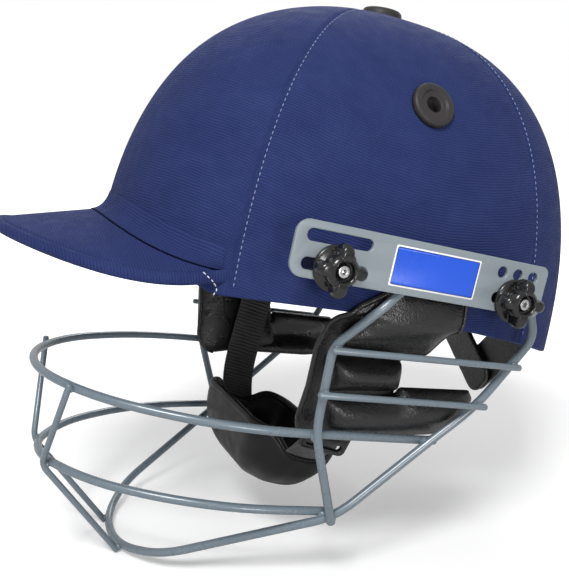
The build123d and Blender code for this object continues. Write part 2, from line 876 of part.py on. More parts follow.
def cup_form(skin):
    """The bowl as the common part of a long and a cross outline, skin inside its outer face."""
    half_length = cup_half_length - skin
    half_width = cup_radius - skin
    depth = cup_radius + cup_rim_rise - skin
    with BuildPart() as form:
        with BuildSketch(strap_plane):
            add(hollow_line(half_length, depth))
        extrude(amount=half_width, both=True)
        with BuildSketch(cross_plane):
            add(hollow_line(half_width, depth))
        extrude(amount=half_length, both=True, mode=Mode.INTERSECT)
        with BuildSketch(down_plane):
            RectangleRounded(2 * half_length, 2 * half_width, cup_corner_radius - skin)
        extrude(amount=-wide, mode=Mode.INTERSECT)
    return form.part


with BuildPart() as cup:
    add(cup_form(0))
    add(cup_form(cup_wall), mode=Mode.SUBTRACT)
    for side in sides.values():
        with BuildSketch(strap_plane):
            with BuildLine():
                Line((side * strap_turn_x, -strap_turn_drop), (side * strap_cup_x, -strap_cup_drop))
            trace(line_width=cup_slot_height)
        extrude(amount=cup_slot_width / 2, both=True, mode=Mode.SUBTRACT)
cup.part.label = "chin_cup"
export_step(cup.part, "parts/chin_cup.step")

with BuildPart() as within_wall:
    add(liner_space)
    with BuildSketch(dome_plane):
        Rectangle(wide, wide)
    extrude(amount=-wide)

for side_name, side in sides.items():
    setback = nape_strap_setback if side > 0 else nape_strap_setback - nape_strap_step
    top = Vector(side * nape_strap_top[0], setback, nape_strap_top[1])
    end = Vector(side * nape_strap_end[0], setback, nape_strap_end[1])
    with BuildPart() as nape_strap:
        with BuildSketch(Plane(origin=(top + end) / 2, x_dir=end - top, z_dir=(0, 1, 0))):
            RectangleRounded((end - top).length, nape_strap_width, nape_strap_corner_radius)
        extrude(amount=nape_strap_thickness / 2, both=True)
        add(within_wall.part, mode=Mode.INTERSECT)
    nape_strap.part.label = f"nape_strap_{side_name}"
    export_step(nape_strap.part, f"parts/nape_strap_{side_name}.step")
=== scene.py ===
# %% [markdown]
# # A batting helmet with a face guard
# The helmet is a hard shell in a tight cloth cover, with a peak, padding, a welded wire guard on two side
# plates, star knobs, and a webbing strap with a chin cup. A CAD model gives every size and every body.
# Blender adds what CAD leaves out: cloth, leatherette, paint, seams, stitches and soft edges.

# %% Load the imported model
import math

import bmesh
import bpy
from mathutils import Matrix, Vector, noise
from mathutils.bvhtree import BVHTree
from mathutils.kdtree import KDTree


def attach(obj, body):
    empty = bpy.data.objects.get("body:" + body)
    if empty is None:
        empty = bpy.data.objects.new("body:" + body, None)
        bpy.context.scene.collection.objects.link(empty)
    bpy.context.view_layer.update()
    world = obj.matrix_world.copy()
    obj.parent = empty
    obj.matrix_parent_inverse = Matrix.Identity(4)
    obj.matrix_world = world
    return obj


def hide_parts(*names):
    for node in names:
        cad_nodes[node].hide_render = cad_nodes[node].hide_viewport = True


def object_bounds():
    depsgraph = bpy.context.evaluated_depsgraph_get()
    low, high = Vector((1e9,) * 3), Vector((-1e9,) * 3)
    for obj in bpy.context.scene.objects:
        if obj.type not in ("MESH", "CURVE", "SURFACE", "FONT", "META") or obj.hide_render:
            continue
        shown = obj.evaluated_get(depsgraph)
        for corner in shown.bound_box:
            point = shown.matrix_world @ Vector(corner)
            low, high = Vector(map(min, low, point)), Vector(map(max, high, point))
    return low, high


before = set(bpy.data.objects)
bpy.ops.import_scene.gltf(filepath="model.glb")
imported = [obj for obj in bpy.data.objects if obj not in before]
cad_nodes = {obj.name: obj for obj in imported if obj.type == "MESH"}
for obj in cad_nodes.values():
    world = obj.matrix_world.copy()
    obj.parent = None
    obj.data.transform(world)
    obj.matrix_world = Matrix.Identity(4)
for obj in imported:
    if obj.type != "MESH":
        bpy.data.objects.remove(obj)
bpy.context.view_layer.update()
print("CAD nodes:", len(cad_nodes))

# %% [markdown]
# ## Helpers
# The sizes below are written in millimetres, as in a workshop drawing. Blender works in metres, so one
# factor turns them over when a mesh is made. Most pieces here are skins: rows of points that are joined
# into faces. They could be modelled by hand or with modifiers, but rows follow a formula directly.

# %% Units and meshes
MM = 0.001
HELMET = "helmet"
STRAP = "strap_and_cup"
SIDES = {"left": 1, "right": -1}
SKIN_MERGE, CAD_MERGE = 0.01, 0.002


def add_object(name, data):
    """An object at the origin for a mesh, a curve, a lamp or a camera."""
    obj = bpy.data.objects.new(name, data)
    bpy.context.scene.collection.objects.link(obj)
    return obj


def make_object(name, verts, faces, uvs=None):
    """A smooth mesh object at the origin; verts in millimetres, uvs one pair for each vertex."""
    mesh = bpy.data.meshes.new(name)
    mesh.from_pydata([tuple(Vector(v) * MM) for v in verts], [], faces)
    if uvs:
        layer = mesh.uv_layers.new(name="cloth")
        for loop in mesh.loops:
            layer.data[loop.index].uv = uvs[loop.vertex_index]
    mesh.validate()
    mesh.shade_smooth()
    return add_object(name, mesh)


def skin_faces(row_count, column_count, close_columns=False, close_rows=False):
    """Quads that join a grid of points, row by row."""
    faces = []
    for row in range(row_count - (0 if close_rows else 1)):
        for column in range(column_count - (0 if close_columns else 1)):
            here = row * column_count
            above = (row + 1) % row_count * column_count
            beside = (column + 1) % column_count
            faces.append((here + column, here + beside, above + beside, above + column))
    return faces


def skin(name, rows, uvs=None, close_columns=False, close_rows=False):
    """A skin over rows of points."""
    verts = [place for row in rows for place in row]
    return make_object(name, verts, skin_faces(len(rows), len(rows[0]), close_columns, close_rows), uvs)


def outward(obj):
    """Merge doubled points and turn all faces outwards."""
    work = bmesh.new()
    work.from_mesh(obj.data)
    bmesh.ops.remove_doubles(work, verts=work.verts, dist=SKIN_MERGE * MM)
    bmesh.ops.recalc_face_normals(work, faces=work.faces)
    work.to_mesh(obj.data)
    work.free()
    return obj


def evaluated_mesh(obj, name):
    """The object's mesh as its modifiers or its curve leave it."""
    graph = bpy.context.evaluated_depsgraph_get()
    mesh = bpy.data.meshes.new_from_object(obj.evaluated_get(graph))
    mesh.name = name
    return mesh


def apply_modifiers(obj):
    """Turn the object's modifiers into plain mesh."""
    mesh = evaluated_mesh(obj, obj.name)
    obj.modifiers.clear()
    obj.data = mesh


def dress(obj, material, body, slot, *replaced):
    """Give a piece its material and its body, and hide the nodes that it stands for; its slot is not used."""
    obj.data.materials.clear()
    obj.data.materials.append(material)
    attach(obj, body)
    if replaced:
        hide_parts(*replaced)


# %% Copies of CAD pieces
def node_copy(name, node):
    """A merged copy of a CAD node's mesh, free to be shaped."""
    mesh = cad_nodes[node].data.copy()
    mesh.name = name
    mesh.materials.clear()
    work = bmesh.new()
    work.from_mesh(mesh)
    bmesh.ops.remove_doubles(work, verts=work.verts, dist=CAD_MERGE * MM)
    work.to_mesh(mesh)
    work.free()
    return add_object(name, mesh)


def soften(obj, voxel, rounds):
    """Remesh evenly and smooth, so that hard CAD edges become padded ones."""
    remesh = obj.modifiers.new("even", "REMESH")
    remesh.mode = "VOXEL"
    remesh.voxel_size = voxel * MM
    smooth = obj.modifiers.new("round", "SMOOTH")
    smooth.factor = 0.5
    smooth.iterations = rounds
    apply_modifiers(obj)
    obj.data.shade_smooth()
    return obj


# %% Paths and tubes
TUBE_ENDS = ((0.45, 0.05), (0.42, 0.5), (0.25, 0.85))  # how far past the end, and how thick, in radii
POINTS_PER_MM = 2


def fillet_path(points, radii, closed=False, turn_step=5.0):
    """A row of points whose corners are rounded by arcs, with a point every few degrees."""
    corners = [Vector(p) for p in points]
    count = len(corners)
    path = []
    for index, corner in enumerate(corners):
        if not closed and index in (0, count - 1):
            path.append(corner)
            continue
        before = (corners[index - 1] - corner).normalized()
        after = (corners[(index + 1) % count] - corner).normalized()
        turn = math.pi - before.angle(after)
        radius = radii[index if closed else index - 1]
        if turn < 0.001 or radius <= 0:
            path.append(corner)
            continue
        reach = radius * math.tan(turn / 2)
        centre = corner + (before + after).normalized() * (radius / math.cos(turn / 2))
        first, last = corner + before * reach - centre, corner + after * reach - centre
        steps = max(2, math.ceil(math.degrees(turn) / turn_step))
        for step in range(steps + 1):
            share = step / steps
            arm = first * math.sin((1 - share) * turn) + last * math.sin(share * turn)
            path.append(centre + arm / math.sin(turn))
    return path


def dense(path):
    """The path with points about half a millimetre apart."""
    places = []
    for start, end in zip(path, path[1:]):
        steps = max(1, round((end - start).length * POINTS_PER_MM))
        places += [start.lerp(end, step / steps) for step in range(steps)]
    return places + [path[-1]]


def tube(name, path, radius, sides=16):
    """A round wire along a path, with eased ends."""
    places = [Vector(p) for p in path]
    first = (places[1] - places[0]).normalized()
    last = (places[-1] - places[-2]).normalized()
    stations = [(places[0] - first * radius * away, radius * share) for away, share in TUBE_ENDS]
    stations += [(place, radius) for place in places]
    stations += [(places[-1] + last * radius * away, radius * share) for away, share in reversed(TUBE_ENDS)]
    side_way = first.orthogonal().normalized()
    verts = []
    for index, (place, size) in enumerate(stations):
        before = stations[max(index - 1, 0)][0]
        after = stations[min(index + 1, len(stations) - 1)][0]
        ahead = (after - before).normalized()
        side_way = (side_way - ahead * side_way.dot(ahead)).normalized()
        up_way = ahead.cross(side_way)
        for step in range(sides):
            turn = 2 * math.pi * step / sides
            verts.append(place + (side_way * math.cos(turn) + up_way * math.sin(turn)) * size)
    faces = skin_faces(len(stations), sides, close_columns=True)
    faces.append(tuple(range(sides)))
    faces.append(tuple(len(verts) - 1 - step for step in range(sides)))
    return outward(make_object(name, verts, faces))


# %% [markdown]
# ## Shader groups
# Four effects serve several finishes: a cloth weave, a leather grain, uneven colour, and scuffed
# roughness. They could be image textures, but nodes need no files and stay sharp at any distance. Each is
# one node group with named inputs, so that every material sets its own scale.

# %% A small way to write node trees
def group_tree(name, inputs, outputs):
    """A shader node group with float, vector or colour sockets; returns the tree and its ends."""
    tree = bpy.data.node_groups.new(name, "ShaderNodeTree")
    kinds = {"f": "NodeSocketFloat", "v": "NodeSocketVector", "c": "NodeSocketColor"}
    for label, kind, value in inputs:
        socket = tree.interface.new_socket(label, in_out="INPUT", socket_type=kinds[kind])
        if value is not None:
            socket.default_value = value
    for label, kind in outputs:
        tree.interface.new_socket(label, in_out="OUTPUT", socket_type=kinds[kind])
    return tree, tree.nodes.new("NodeGroupInput"), tree.nodes.new("NodeGroupOutput")


def feed(tree, value, socket):
    """Put a number into a socket, or link another socket to it."""
    if isinstance(value, (int, float)):
        socket.default_value = value
    else:
        tree.links.new(value, socket)


def maths(tree, operation, *values):
    """One Math node; each value is a socket or a number."""
    node = tree.nodes.new("ShaderNodeMath")
    node.operation = operation
    for index, value in enumerate(values):
        feed(tree, value, node.inputs[index])
    return node.outputs[0]


def noise_node(tree, vector, scale, detail):
    """A Noise Texture's value on a vector."""
    node = tree.nodes.new("ShaderNodeTexNoise")
    node.inputs["Detail"].default_value = detail
    tree.links.new(vector, node.inputs["Vector"])
    feed(tree, scale, node.inputs["Scale"])
    return node.outputs["Fac"]


# %% Woven cloth: crossing threads with uneven weight
SWAY_SCALE, SWAY_TURNS = 0.12, 0.6
WARP_SHARE, CROSSING_SHARE = 0.35, 0.75
weave_tree, weave_in, weave_out = group_tree(
    "woven threads",
    [("Vector", "v", None), ("Warp Pitch", "f", 1.0), ("Weft Pitch", "f", 1.0), ("Unevenness", "f", 0.3)],
    [("Height", "f"), ("Mask", "f")],
)
split = weave_tree.nodes.new("ShaderNodeSeparateXYZ")
weave_tree.links.new(weave_in.outputs["Vector"], split.inputs[0])
threads = []
for axis, pitch in (("X", "Warp Pitch"), ("Y", "Weft Pitch")):
    turns = maths(weave_tree, "DIVIDE", split.outputs[axis], weave_in.outputs[pitch])
    sway = noise_node(weave_tree, weave_in.outputs["Vector"], SWAY_SCALE, 2.0)
    turns = maths(weave_tree, "ADD", turns, maths(weave_tree, "MULTIPLY", sway, SWAY_TURNS))
    wave = maths(weave_tree, "SINE", maths(weave_tree, "MULTIPLY", turns, 2 * math.pi))
    threads.append(maths(weave_tree, "ABSOLUTE", wave))
warp, weft = threads
crossing = maths(weave_tree, "ADD", maths(weave_tree, "MULTIPLY", warp, WARP_SHARE), weft)
crossing = maths(weave_tree, "MULTIPLY", crossing, CROSSING_SHARE)
blotch = noise_node(weave_tree, weave_in.outputs["Vector"], 0.9, 4.0)
uneven = maths(weave_tree, "MULTIPLY", blotch, weave_in.outputs["Unevenness"])
weave_tree.links.new(maths(weave_tree, "ADD", crossing, uneven), weave_out.inputs["Height"])
worn = maths(weave_tree, "ADD", maths(weave_tree, "MULTIPLY", blotch, 0.5), 0.6)
weave_tree.links.new(maths(weave_tree, "MULTIPLY", crossing, worn), weave_out.inputs["Mask"])
print("weave nodes:", len(weave_tree.nodes))

# %% Leather grain: soft pebbles between fine creases
grain_tree, grain_in, grain_out = group_tree(
    "pebble grain", [("Vector", "v", None), ("Scale", "f", 900.0)], [("Height", "f"), ("Crease", "f")]
)
cells = grain_tree.nodes.new("ShaderNodeTexVoronoi")
cells.feature = "SMOOTH_F1"
cells.inputs["Smoothness"].default_value = 0.4
grain_tree.links.new(grain_in.outputs["Vector"], cells.inputs["Vector"])
grain_tree.links.new(grain_in.outputs["Scale"], cells.inputs["Scale"])
broad_scale = maths(grain_tree, "MULTIPLY", grain_in.outputs["Scale"], 0.4)
drift = noise_node(grain_tree, grain_in.outputs["Vector"], broad_scale, 5.0)
pebble = maths(grain_tree, "SUBTRACT", 1.0, cells.outputs["Distance"])
grain_tree.links.new(maths(grain_tree, "ADD", pebble, drift), grain_out.inputs["Height"])
grain_tree.links.new(cells.outputs["Distance"], grain_out.inputs["Crease"])
print("grain nodes:", len(grain_tree.nodes))

# %% Uneven colour: two tones mixed by broad noise and a mask
tone_tree, tone_in, tone_out = group_tree(
    "uneven colour",
    [("Vector", "v", None), ("Dark", "c", None), ("Light", "c", None), ("Scale", "f", 20.0), ("Mask", "f", 0.5)],
    [("Color", "c"), ("Value", "f")],
)
broad = noise_node(tone_tree, tone_in.outputs["Vector"], tone_in.outputs["Scale"], 4.0)
balance = maths(tone_tree, "MULTIPLY", maths(tone_tree, "ADD", broad, tone_in.outputs["Mask"]), 0.5)
tone_mix = tone_tree.nodes.new("ShaderNodeMix")
tone_mix.data_type = "RGBA"
tone_tree.links.new(balance, tone_mix.inputs["Factor"])
tone_tree.links.new(tone_in.outputs["Dark"], tone_mix.inputs["A"])
tone_tree.links.new(tone_in.outputs["Light"], tone_mix.inputs["B"])
tone_tree.links.new(tone_mix.outputs["Result"], tone_out.inputs["Color"])
tone_tree.links.new(balance, tone_out.inputs["Value"])

# %% Scuffs: roughness that drifts between two values
scuff_tree, scuff_in, scuff_out = group_tree(
    "scuffed gloss",
    [("Vector", "v", None), ("Smooth", "f", 0.2), ("Rough", "f", 0.4), ("Scale", "f", 60.0)],
    [("Roughness", "f")],
)
wear = noise_node(scuff_tree, scuff_in.outputs["Vector"], scuff_in.outputs["Scale"], 6.0)
ramp = scuff_tree.nodes.new("ShaderNodeMapRange")
scuff_tree.links.new(wear, ramp.inputs["Value"])
ramp.inputs["From Min"].default_value = 0.35
ramp.inputs["From Max"].default_value = 0.7
scuff_tree.links.new(scuff_in.outputs["Smooth"], ramp.inputs["To Min"])
scuff_tree.links.new(scuff_in.outputs["Rough"], ramp.inputs["To Max"])
scuff_tree.links.new(ramp.outputs["Result"], scuff_out.inputs["Roughness"])
print("shader groups:", len(bpy.data.node_groups))


# %% [markdown]
# ## Materials
# One function builds the common part of every finish: two tones, drifting gloss and a bump. What differs
# is written where each material is made. Each finish could be a tree of its own, but shared parts keep
# them alike. Cloth and webbing read the piece's own UV map, which is laid out in millimetres along the
# surface; moulded and painted pieces read Object coordinates.

# %% The common part of a finish
def effect(tree, group, vector, values):
    """A shader group in a material's tree, with its own values."""
    node = tree.nodes.new("ShaderNodeGroup")
    node.node_tree = group
    for label, value in values.items():
        node.inputs[label].default_value = value
    tree.links.new(vector, node.inputs["Vector"])
    return node


def finish(name, dark, light, smooth, rough, tone_scale, uv=False):
    """A Principled material; returns it with its tree, shader, coordinates and tone group."""
    material = bpy.data.materials.new(name)
    material.use_nodes = True
    tree = material.node_tree
    shader = tree.nodes["Principled BSDF"]
    place = tree.nodes.new("ShaderNodeUVMap" if uv else "ShaderNodeTexCoord")
    vector = place.outputs["UV" if uv else "Object"]
    tone = effect(tree, tone_tree, vector, {"Dark": (*dark, 1), "Light": (*light, 1), "Scale": tone_scale})
    gloss = effect(tree, scuff_tree, vector, {"Smooth": smooth, "Rough": rough, "Scale": 3 * tone_scale})
    tree.links.new(tone.outputs["Color"], shader.inputs["Base Color"])
    tree.links.new(gloss.outputs["Roughness"], shader.inputs["Roughness"])
    return material, tree, shader, vector, tone


def bump(tree, shader, height, strength, depth):
    """A Bump node between a height and the shader; depth in millimetres."""
    node = tree.nodes.new("ShaderNodeBump")
    node.inputs["Strength"].default_value = strength
    node.inputs["Distance"].default_value = depth * MM
    tree.links.new(height, node.inputs["Height"])
    tree.links.new(node.outputs["Normal"], shader.inputs["Normal"])


def woven(name, dark, light, warp, weft, strength, depth, sheen):
    """Cloth or webbing with threads at two pitches, in millimetres."""
    material, tree, shader, vector, tone = finish(name, dark, light, 0.7, 0.9, 0.05, uv=True)
    weave = effect(tree, weave_tree, vector, {"Warp Pitch": warp, "Weft Pitch": weft})
    # The light tone goes where the threads rise highest; on the webbing this is a painted highlight.
    tree.links.new(weave.outputs["Mask"], tone.inputs["Mask"])
    shader.inputs["Sheen Weight"].default_value = sheen
    shader.inputs["Sheen Roughness"].default_value = 0.45
    shader.inputs["Specular IOR Level"].default_value = 0.15
    bump(tree, shader, weave.outputs["Height"], strength, depth)
    return material


def grained(name, dark, light, smooth, rough, scale, strength, depth):
    """Leatherette, rubber, foam, thread or moulded plastic with a pebble grain."""
    material, tree, shader, vector, tone = finish(name, dark, light, smooth, rough, 40.0)
    grain = effect(tree, grain_tree, vector, {"Scale": scale})
    tree.links.new(grain.outputs["Crease"], tone.inputs["Mask"])
    bump(tree, shader, grain.outputs["Height"], strength, depth)
    return material


def painted(name, dark, light, smooth, rough):
    """Stove enamel on steel, with a faint orange peel."""
    material, tree, shader, vector, _ = finish(name, dark, light, smooth, rough, 30.0)
    bump(tree, shader, noise_node(tree, vector, 700.0, 2.0), strength=0.1, depth=0.08)
    shader.inputs["Coat Weight"].default_value = 0.35
    shader.inputs["Coat Roughness"].default_value = 0.12
    return material


# %% Cloth, webbing and thread
navy_dark, navy_light = (0.006, 0.012, 0.058), (0.026, 0.041, 0.146)
# The webbing's light tone is a painted highlight on its highest threads; the webbing itself is black.
web_dark, web_painted_highlight = (0.003,) * 3, (0.170, 0.170, 0.175)
navy_cloth = woven("navy cloth", navy_dark, navy_light, 1.9, 2.5, strength=1.0, depth=0.3, sheen=0.06)
web_black = woven("ribbed webbing", web_dark, web_painted_highlight, 3.4, 4.2, strength=0.9, depth=0.5, sheen=0.05)
thread_pale = grained("pale thread", (0.12, 0.15, 0.28), (0.26, 0.31, 0.48), 0.6, 0.8, 3000.0, 0.3, 0.05)
thread_white = grained("white thread", (0.50, 0.52, 0.58), (0.80, 0.82, 0.86), 0.6, 0.8, 3000.0, 0.3, 0.05)
# This near-black finish is painted shade: it colours a thin tube in the crease where the cover meets the peak.
seam_shadow = grained("painted crease shade", (0.0005, 0.001, 0.007), (0.001, 0.002, 0.014), 0.8, 0.9, 900.0, 0.2, 0.1)

# %% Padding, rubber and plastic
liner_foam = grained("liner foam", (0.008, 0.008, 0.009), (0.030, 0.030, 0.032), 0.7, 0.9, 2200.0, 0.4, 0.2)
pad_leather = grained("pad leatherette", (0.004,) * 3, (0.012, 0.011, 0.011), 0.24, 0.38, 1300.0, 0.6, 0.25)
cup_rubber = grained("moulded chin rubber", (0.004,) * 3, (0.011,) * 3, 0.34, 0.5, 1700.0, 0.25, 0.1)
vent_rubber = grained("vent rubber", (0.014, 0.013, 0.013), (0.034, 0.031, 0.031), 0.42, 0.6, 1500.0, 0.2, 0.1)
shell_plastic = grained("shell plastic", (0.010, 0.010, 0.012), (0.025, 0.025, 0.028), 0.35, 0.5, 500.0, 0.15, 0.1)
knob_plastic = grained("knob plastic", (0.004,) * 3, (0.011,) * 3, 0.16, 0.28, 400.0, 0.06, 0.05)

# %% Enamel, film and steel
guard_paint = painted("guard enamel", (0.110, 0.145, 0.175), (0.155, 0.196, 0.230), 0.24, 0.34)
plate_paint = painted("plate enamel", (0.185, 0.222, 0.245), (0.235, 0.272, 0.295), 0.34, 0.46)
label_blue = painted("label blue", (0.000, 0.060, 0.520), (0.004, 0.085, 0.640), 0.22, 0.3)
label_white = painted("label white", (0.72, 0.73, 0.74), (0.84, 0.85, 0.86), 0.22, 0.3)
label_line = painted("label keyline", (0.006, 0.012, 0.06), (0.010, 0.018, 0.09), 0.22, 0.3)
bolt_steel = finish("bolt steel", (0.40, 0.40, 0.41), (0.62, 0.62, 0.63), 0.2, 0.38, 200.0)[0]
for material, socket, value in (
    (navy_cloth, "Sheen Tint", (0.45, 0.5, 0.9, 1)),
    (seam_shadow, "Specular IOR Level", 0.05),
    (liner_foam, "Specular IOR Level", 0.2),
    (cup_rubber, "Specular IOR Level", 0.22),
    (vent_rubber, "Specular IOR Level", 0.3),
    (knob_plastic, "Specular IOR Level", 0.4),
    (knob_plastic, "Coat Weight", 0.2),
    (bolt_steel, "Metallic", 1.0),
):
    material.node_tree.nodes["Principled BSDF"].inputs[socket].default_value = value
print("materials:", len(bpy.data.materials))

# %% [markdown]
# ## The dome's formula
# The shell is a superellipse in profile over a squarish oval in plan, leaned back a little. Places on it
# could be looked up on the CAD mesh, but a formula also gives directions and even spacing. Every cloth
# panel, vent and stitch is placed by this one formula, so they all meet the CAD shell.

# %% Points on the dome
LEAN = math.radians(11.7)
DOME_FOOT = Vector((0, 0, -15.5))
DOME_BACK = Vector((0, math.cos(LEAN), -math.sin(LEAN)))
DOME_UP = Vector((0, math.sin(LEAN), math.cos(LEAN)))
HALF_WIDTH, HALF_LENGTH, DOME_HEIGHT = 98.5, 127.0, 157.0
PLAN_FULLNESS = 0.64
DOME_POWER = 2.5
OVAL_STEPS = 180
TANGENT_STEP = 0.01


def bezier(points, t):
    """A point on a cubic curve."""
    weights = ((1 - t) ** 3, 3 * t * (1 - t) ** 2, 3 * t * t * (1 - t), t**3)
    return tuple(sum(w * p[axis] for w, p in zip(weights, points)) for axis in (0, 1))


quarter = (
    (0, HALF_LENGTH),
    (PLAN_FULLNESS * HALF_WIDTH, HALF_LENGTH),
    (HALF_WIDTH, PLAN_FULLNESS * HALF_LENGTH),
    (HALF_WIDTH, 0),
)
oval_rows = [bezier(quarter, step / OVAL_STEPS) for step in range(OVAL_STEPS + 1)]
oval_rows = [(math.atan2(x, y), math.hypot(x, y)) for x, y in oval_rows]


def plan_radius(angle):
    """The dome's widest radius in one direction, counted from the front."""
    folded = math.atan2(abs(math.sin(angle)), abs(math.cos(angle)))
    low, high = 0, len(oval_rows) - 1
    while high - low > 1:
        middle = (low + high) // 2
        if oval_rows[middle][0] <= folded:
            low = middle
        else:
            high = middle
    span = oval_rows[high][0] - oval_rows[low][0]
    share = (folded - oval_rows[low][0]) / span
    return oval_rows[low][1] + share * (oval_rows[high][1] - oval_rows[low][1])


def level_share(theta):
    """The share of the plan radius that is left at theta."""
    return max(math.cos(theta), 0.0) ** (2 / DOME_POWER)


def dome_point(angle, theta, growth=0.0):
    """A point on the dome: angle round it from the front, theta up it, growth outwards."""
    rise = math.copysign(abs(math.sin(theta)) ** (2 / DOME_POWER), theta)
    radius = (plan_radius(angle) + growth) * level_share(theta)
    flat = Vector((radius * math.sin(angle), 0, 0)) - DOME_BACK * radius * math.cos(angle)
    return DOME_FOOT + flat + DOME_UP * (DOME_HEIGHT + growth) * rise


def dome_normal(angle, theta):
    """The outward direction at a point on the dome."""
    ahead = dome_point(angle + TANGENT_STEP, theta) - dome_point(angle - TANGENT_STEP, theta)
    above = dome_point(angle, theta + TANGENT_STEP) - dome_point(angle, theta - TANGENT_STEP)
    return ahead.cross(above).normalized()


def inside_dome(place):
    """Whether a place lies inside the dome's outer surface."""
    local = Vector(place) - DOME_FOOT
    back, up = local.dot(DOME_BACK), local.dot(DOME_UP)
    share = (1 - min(abs(up / DOME_HEIGHT), 1.0) ** DOME_POWER) ** (1 / DOME_POWER)
    return math.hypot(local.x, back) < plan_radius(math.atan2(local.x, -back)) * share


# %% The rim line
TEMPLE, EAR, NAPE = (-88.0, 15.5), (19.0, -5.0), (165.0, -67.0)
BROW_SLOPE = 41.0 / 62.0
LOWEST_RIM, HIGHEST_RIM = -0.7, 1.3
RIM_STEP = 0.02


def halve(low, high, rounds, lies_above):
    """Halve an interval again and again towards the place that a test points to."""
    for _ in range(rounds):
        middle = (low + high) / 2
        if lies_above(middle):
            low = middle
        else:
            high = middle
    return low, high


def circle_through(a, b, c):
    """Centre and radius of the circle through three points."""
    ax, ay, bx, by = b[0] - a[0], b[1] - a[1], c[0] - a[0], c[1] - a[1]
    turn = 2 * (ax * by - ay * bx)
    x = (by * (ax * ax + ay * ay) - ay * (bx * bx + by * by)) / turn
    y = (ax * (bx * bx + by * by) - bx * (ax * ax + ay * ay)) / turn
    return a[0] + x, a[1] + y, math.hypot(x, y)


rim_y, rim_z, rim_radius = circle_through(TEMPLE, EAR, NAPE)


def rim_height(y):
    """How high the shell's lower edge lies at y, seen from the side."""
    if y < TEMPLE[0]:
        return TEMPLE[1] + (TEMPLE[0] - y) * BROW_SLOPE
    return rim_z + math.sqrt(rim_radius**2 - (y - rim_y) ** 2)


def find_rim(angle):
    """The theta at which the dome meets the rim line."""

    def below(theta):
        place = dome_point(angle, theta)
        return place.z <= rim_height(place.y)

    return halve(LOWEST_RIM, HIGHEST_RIM, 26, below)[1]


rim_table = [find_rim(math.radians(degree)) for degree in range(361)]


def rim_theta(angle):
    """The rim's theta, read from the table."""
    degrees = math.degrees(angle) % 360
    low = int(degrees)
    return rim_table[low] + (degrees - low) * (rim_table[min(low + 1, 360)] - rim_table[low])


def rim_place(angle, out, down):
    """A place by the rim: out from the dome's surface and down past the edge."""
    low = rim_theta(angle)
    corner = dome_point(angle, low)
    descent = (dome_point(angle, low - RIM_STEP) - corner).normalized()
    return corner + dome_normal(angle, low) * out + descent * down


print("rim theta at front, side and back:", [round(rim_table[d], 3) for d in (0, 90, 180)])

# %% [markdown]
# ## Cloth cover
# The real cover is four pieces of cloth that are sewn together and pulled tight over the shell. A cloth
# simulation would give wrinkles that such tight cloth doesn't have, so each panel is a skin on the dome's
# formula. Its edges dip into the seams and its lower edge rolls round the shell's rim. The columns next to
# a seam keep their distance from it in millimetres, all the way up.

# %% Vent places
VENT_RISE, VENT_AHEAD = 110.0, 7.0
CROWN_VENT_SHARE = 0.998
VENT_OPENING = 6.6
vent_share = VENT_RISE / DOME_HEIGHT
vent_x = HALF_WIDTH * (1 - vent_share**DOME_POWER) ** (1 / DOME_POWER)
steep = (vent_x / HALF_WIDTH) ** (DOME_POWER - 1) / HALF_WIDTH
lie = vent_share ** (DOME_POWER - 1) / DOME_HEIGHT
vents = [("crown", DOME_FOOT + DOME_UP * DOME_HEIGHT * CROWN_VENT_SHARE, DOME_UP)]
for side_name, side in SIDES.items():
    place = DOME_FOOT + Vector((side * vent_x, 0, 0)) - DOME_BACK * VENT_AHEAD + DOME_UP * VENT_RISE
    vents.append((side_name, place, (Vector((side * steep, 0, 0)) + DOME_UP * lie).normalized()))
print("side vents at:", round(vent_x, 1))


def open_vents(obj):
    """Take away the cloth under each vent ring, so that the vent's hole goes through."""
    work = bmesh.new()
    work.from_mesh(obj.data)
    doomed = []
    for face in work.faces:
        middle = face.calc_center_median()
        if any((middle - place * MM).length < VENT_OPENING * MM for _, place, _ in vents):
            doomed.append(face)
    bmesh.ops.delete(work, geom=doomed, context="FACES")
    work.to_mesh(obj.data)
    work.free()


# %% Cover panels
EDGE_STEPS = (0.0, 0.5, 1.0, 1.6, 2.4, 3.4, 4.8)
SEAM_DIP, SEAM_WIDTH = 0.9, 1.1
PUFF, PUFF_SCALE = 0.25, 0.02
ROWS, INNER_COLUMNS = 84, 34
NARROWEST_ROW = 16.0
RIM_WRAP = (  # out and down, from inside the shell to its outer face
    (-4.2, -2.4),
    (-4.15, 0.0),
    (-3.85, 0.7),
    (-3.2, 1.15),
    (-2.2, 1.3),
    (-1.2, 1.2),
    (-0.5, 0.95),
    (-0.1, 0.5),
)
SEAMS = [math.radians(a) for a in (-42, 42, 126, 234, 318)]


def panel_angles(start, end, radius):
    """Column angles of one row, with each column's distance from the nearest seam."""
    reach = max(radius, NARROWEST_ROW)
    near = [(start + step / reach, step) for step in EDGE_STEPS]
    far = [(end - step / reach, step) for step in reversed(EDGE_STEPS)]
    low, high = near[-1][0], far[0][0]
    inner = []
    for column in range(1, INNER_COLUMNS):
        angle = low + (high - low) * column / INNER_COLUMNS
        inner.append((angle, min(angle - start, end - angle) * reach))
    return near + inner + far


def cloth_uvs(rows, tangent):
    """Millimetres across the panel and down it from the crown, for each point."""
    columns = len(rows[0])
    lengths = [0.0] * columns
    uvs = [None] * (len(rows) * columns)
    for row in range(len(rows) - 1, -1, -1):
        for column in range(columns):
            if row < len(rows) - 1:
                lengths[column] += (rows[row][column] - rows[row + 1][column]).length
            across = (rows[row][column] - DOME_FOOT).dot(tangent)
            uvs[row * columns + column] = (across, -lengths[column])
    return uvs


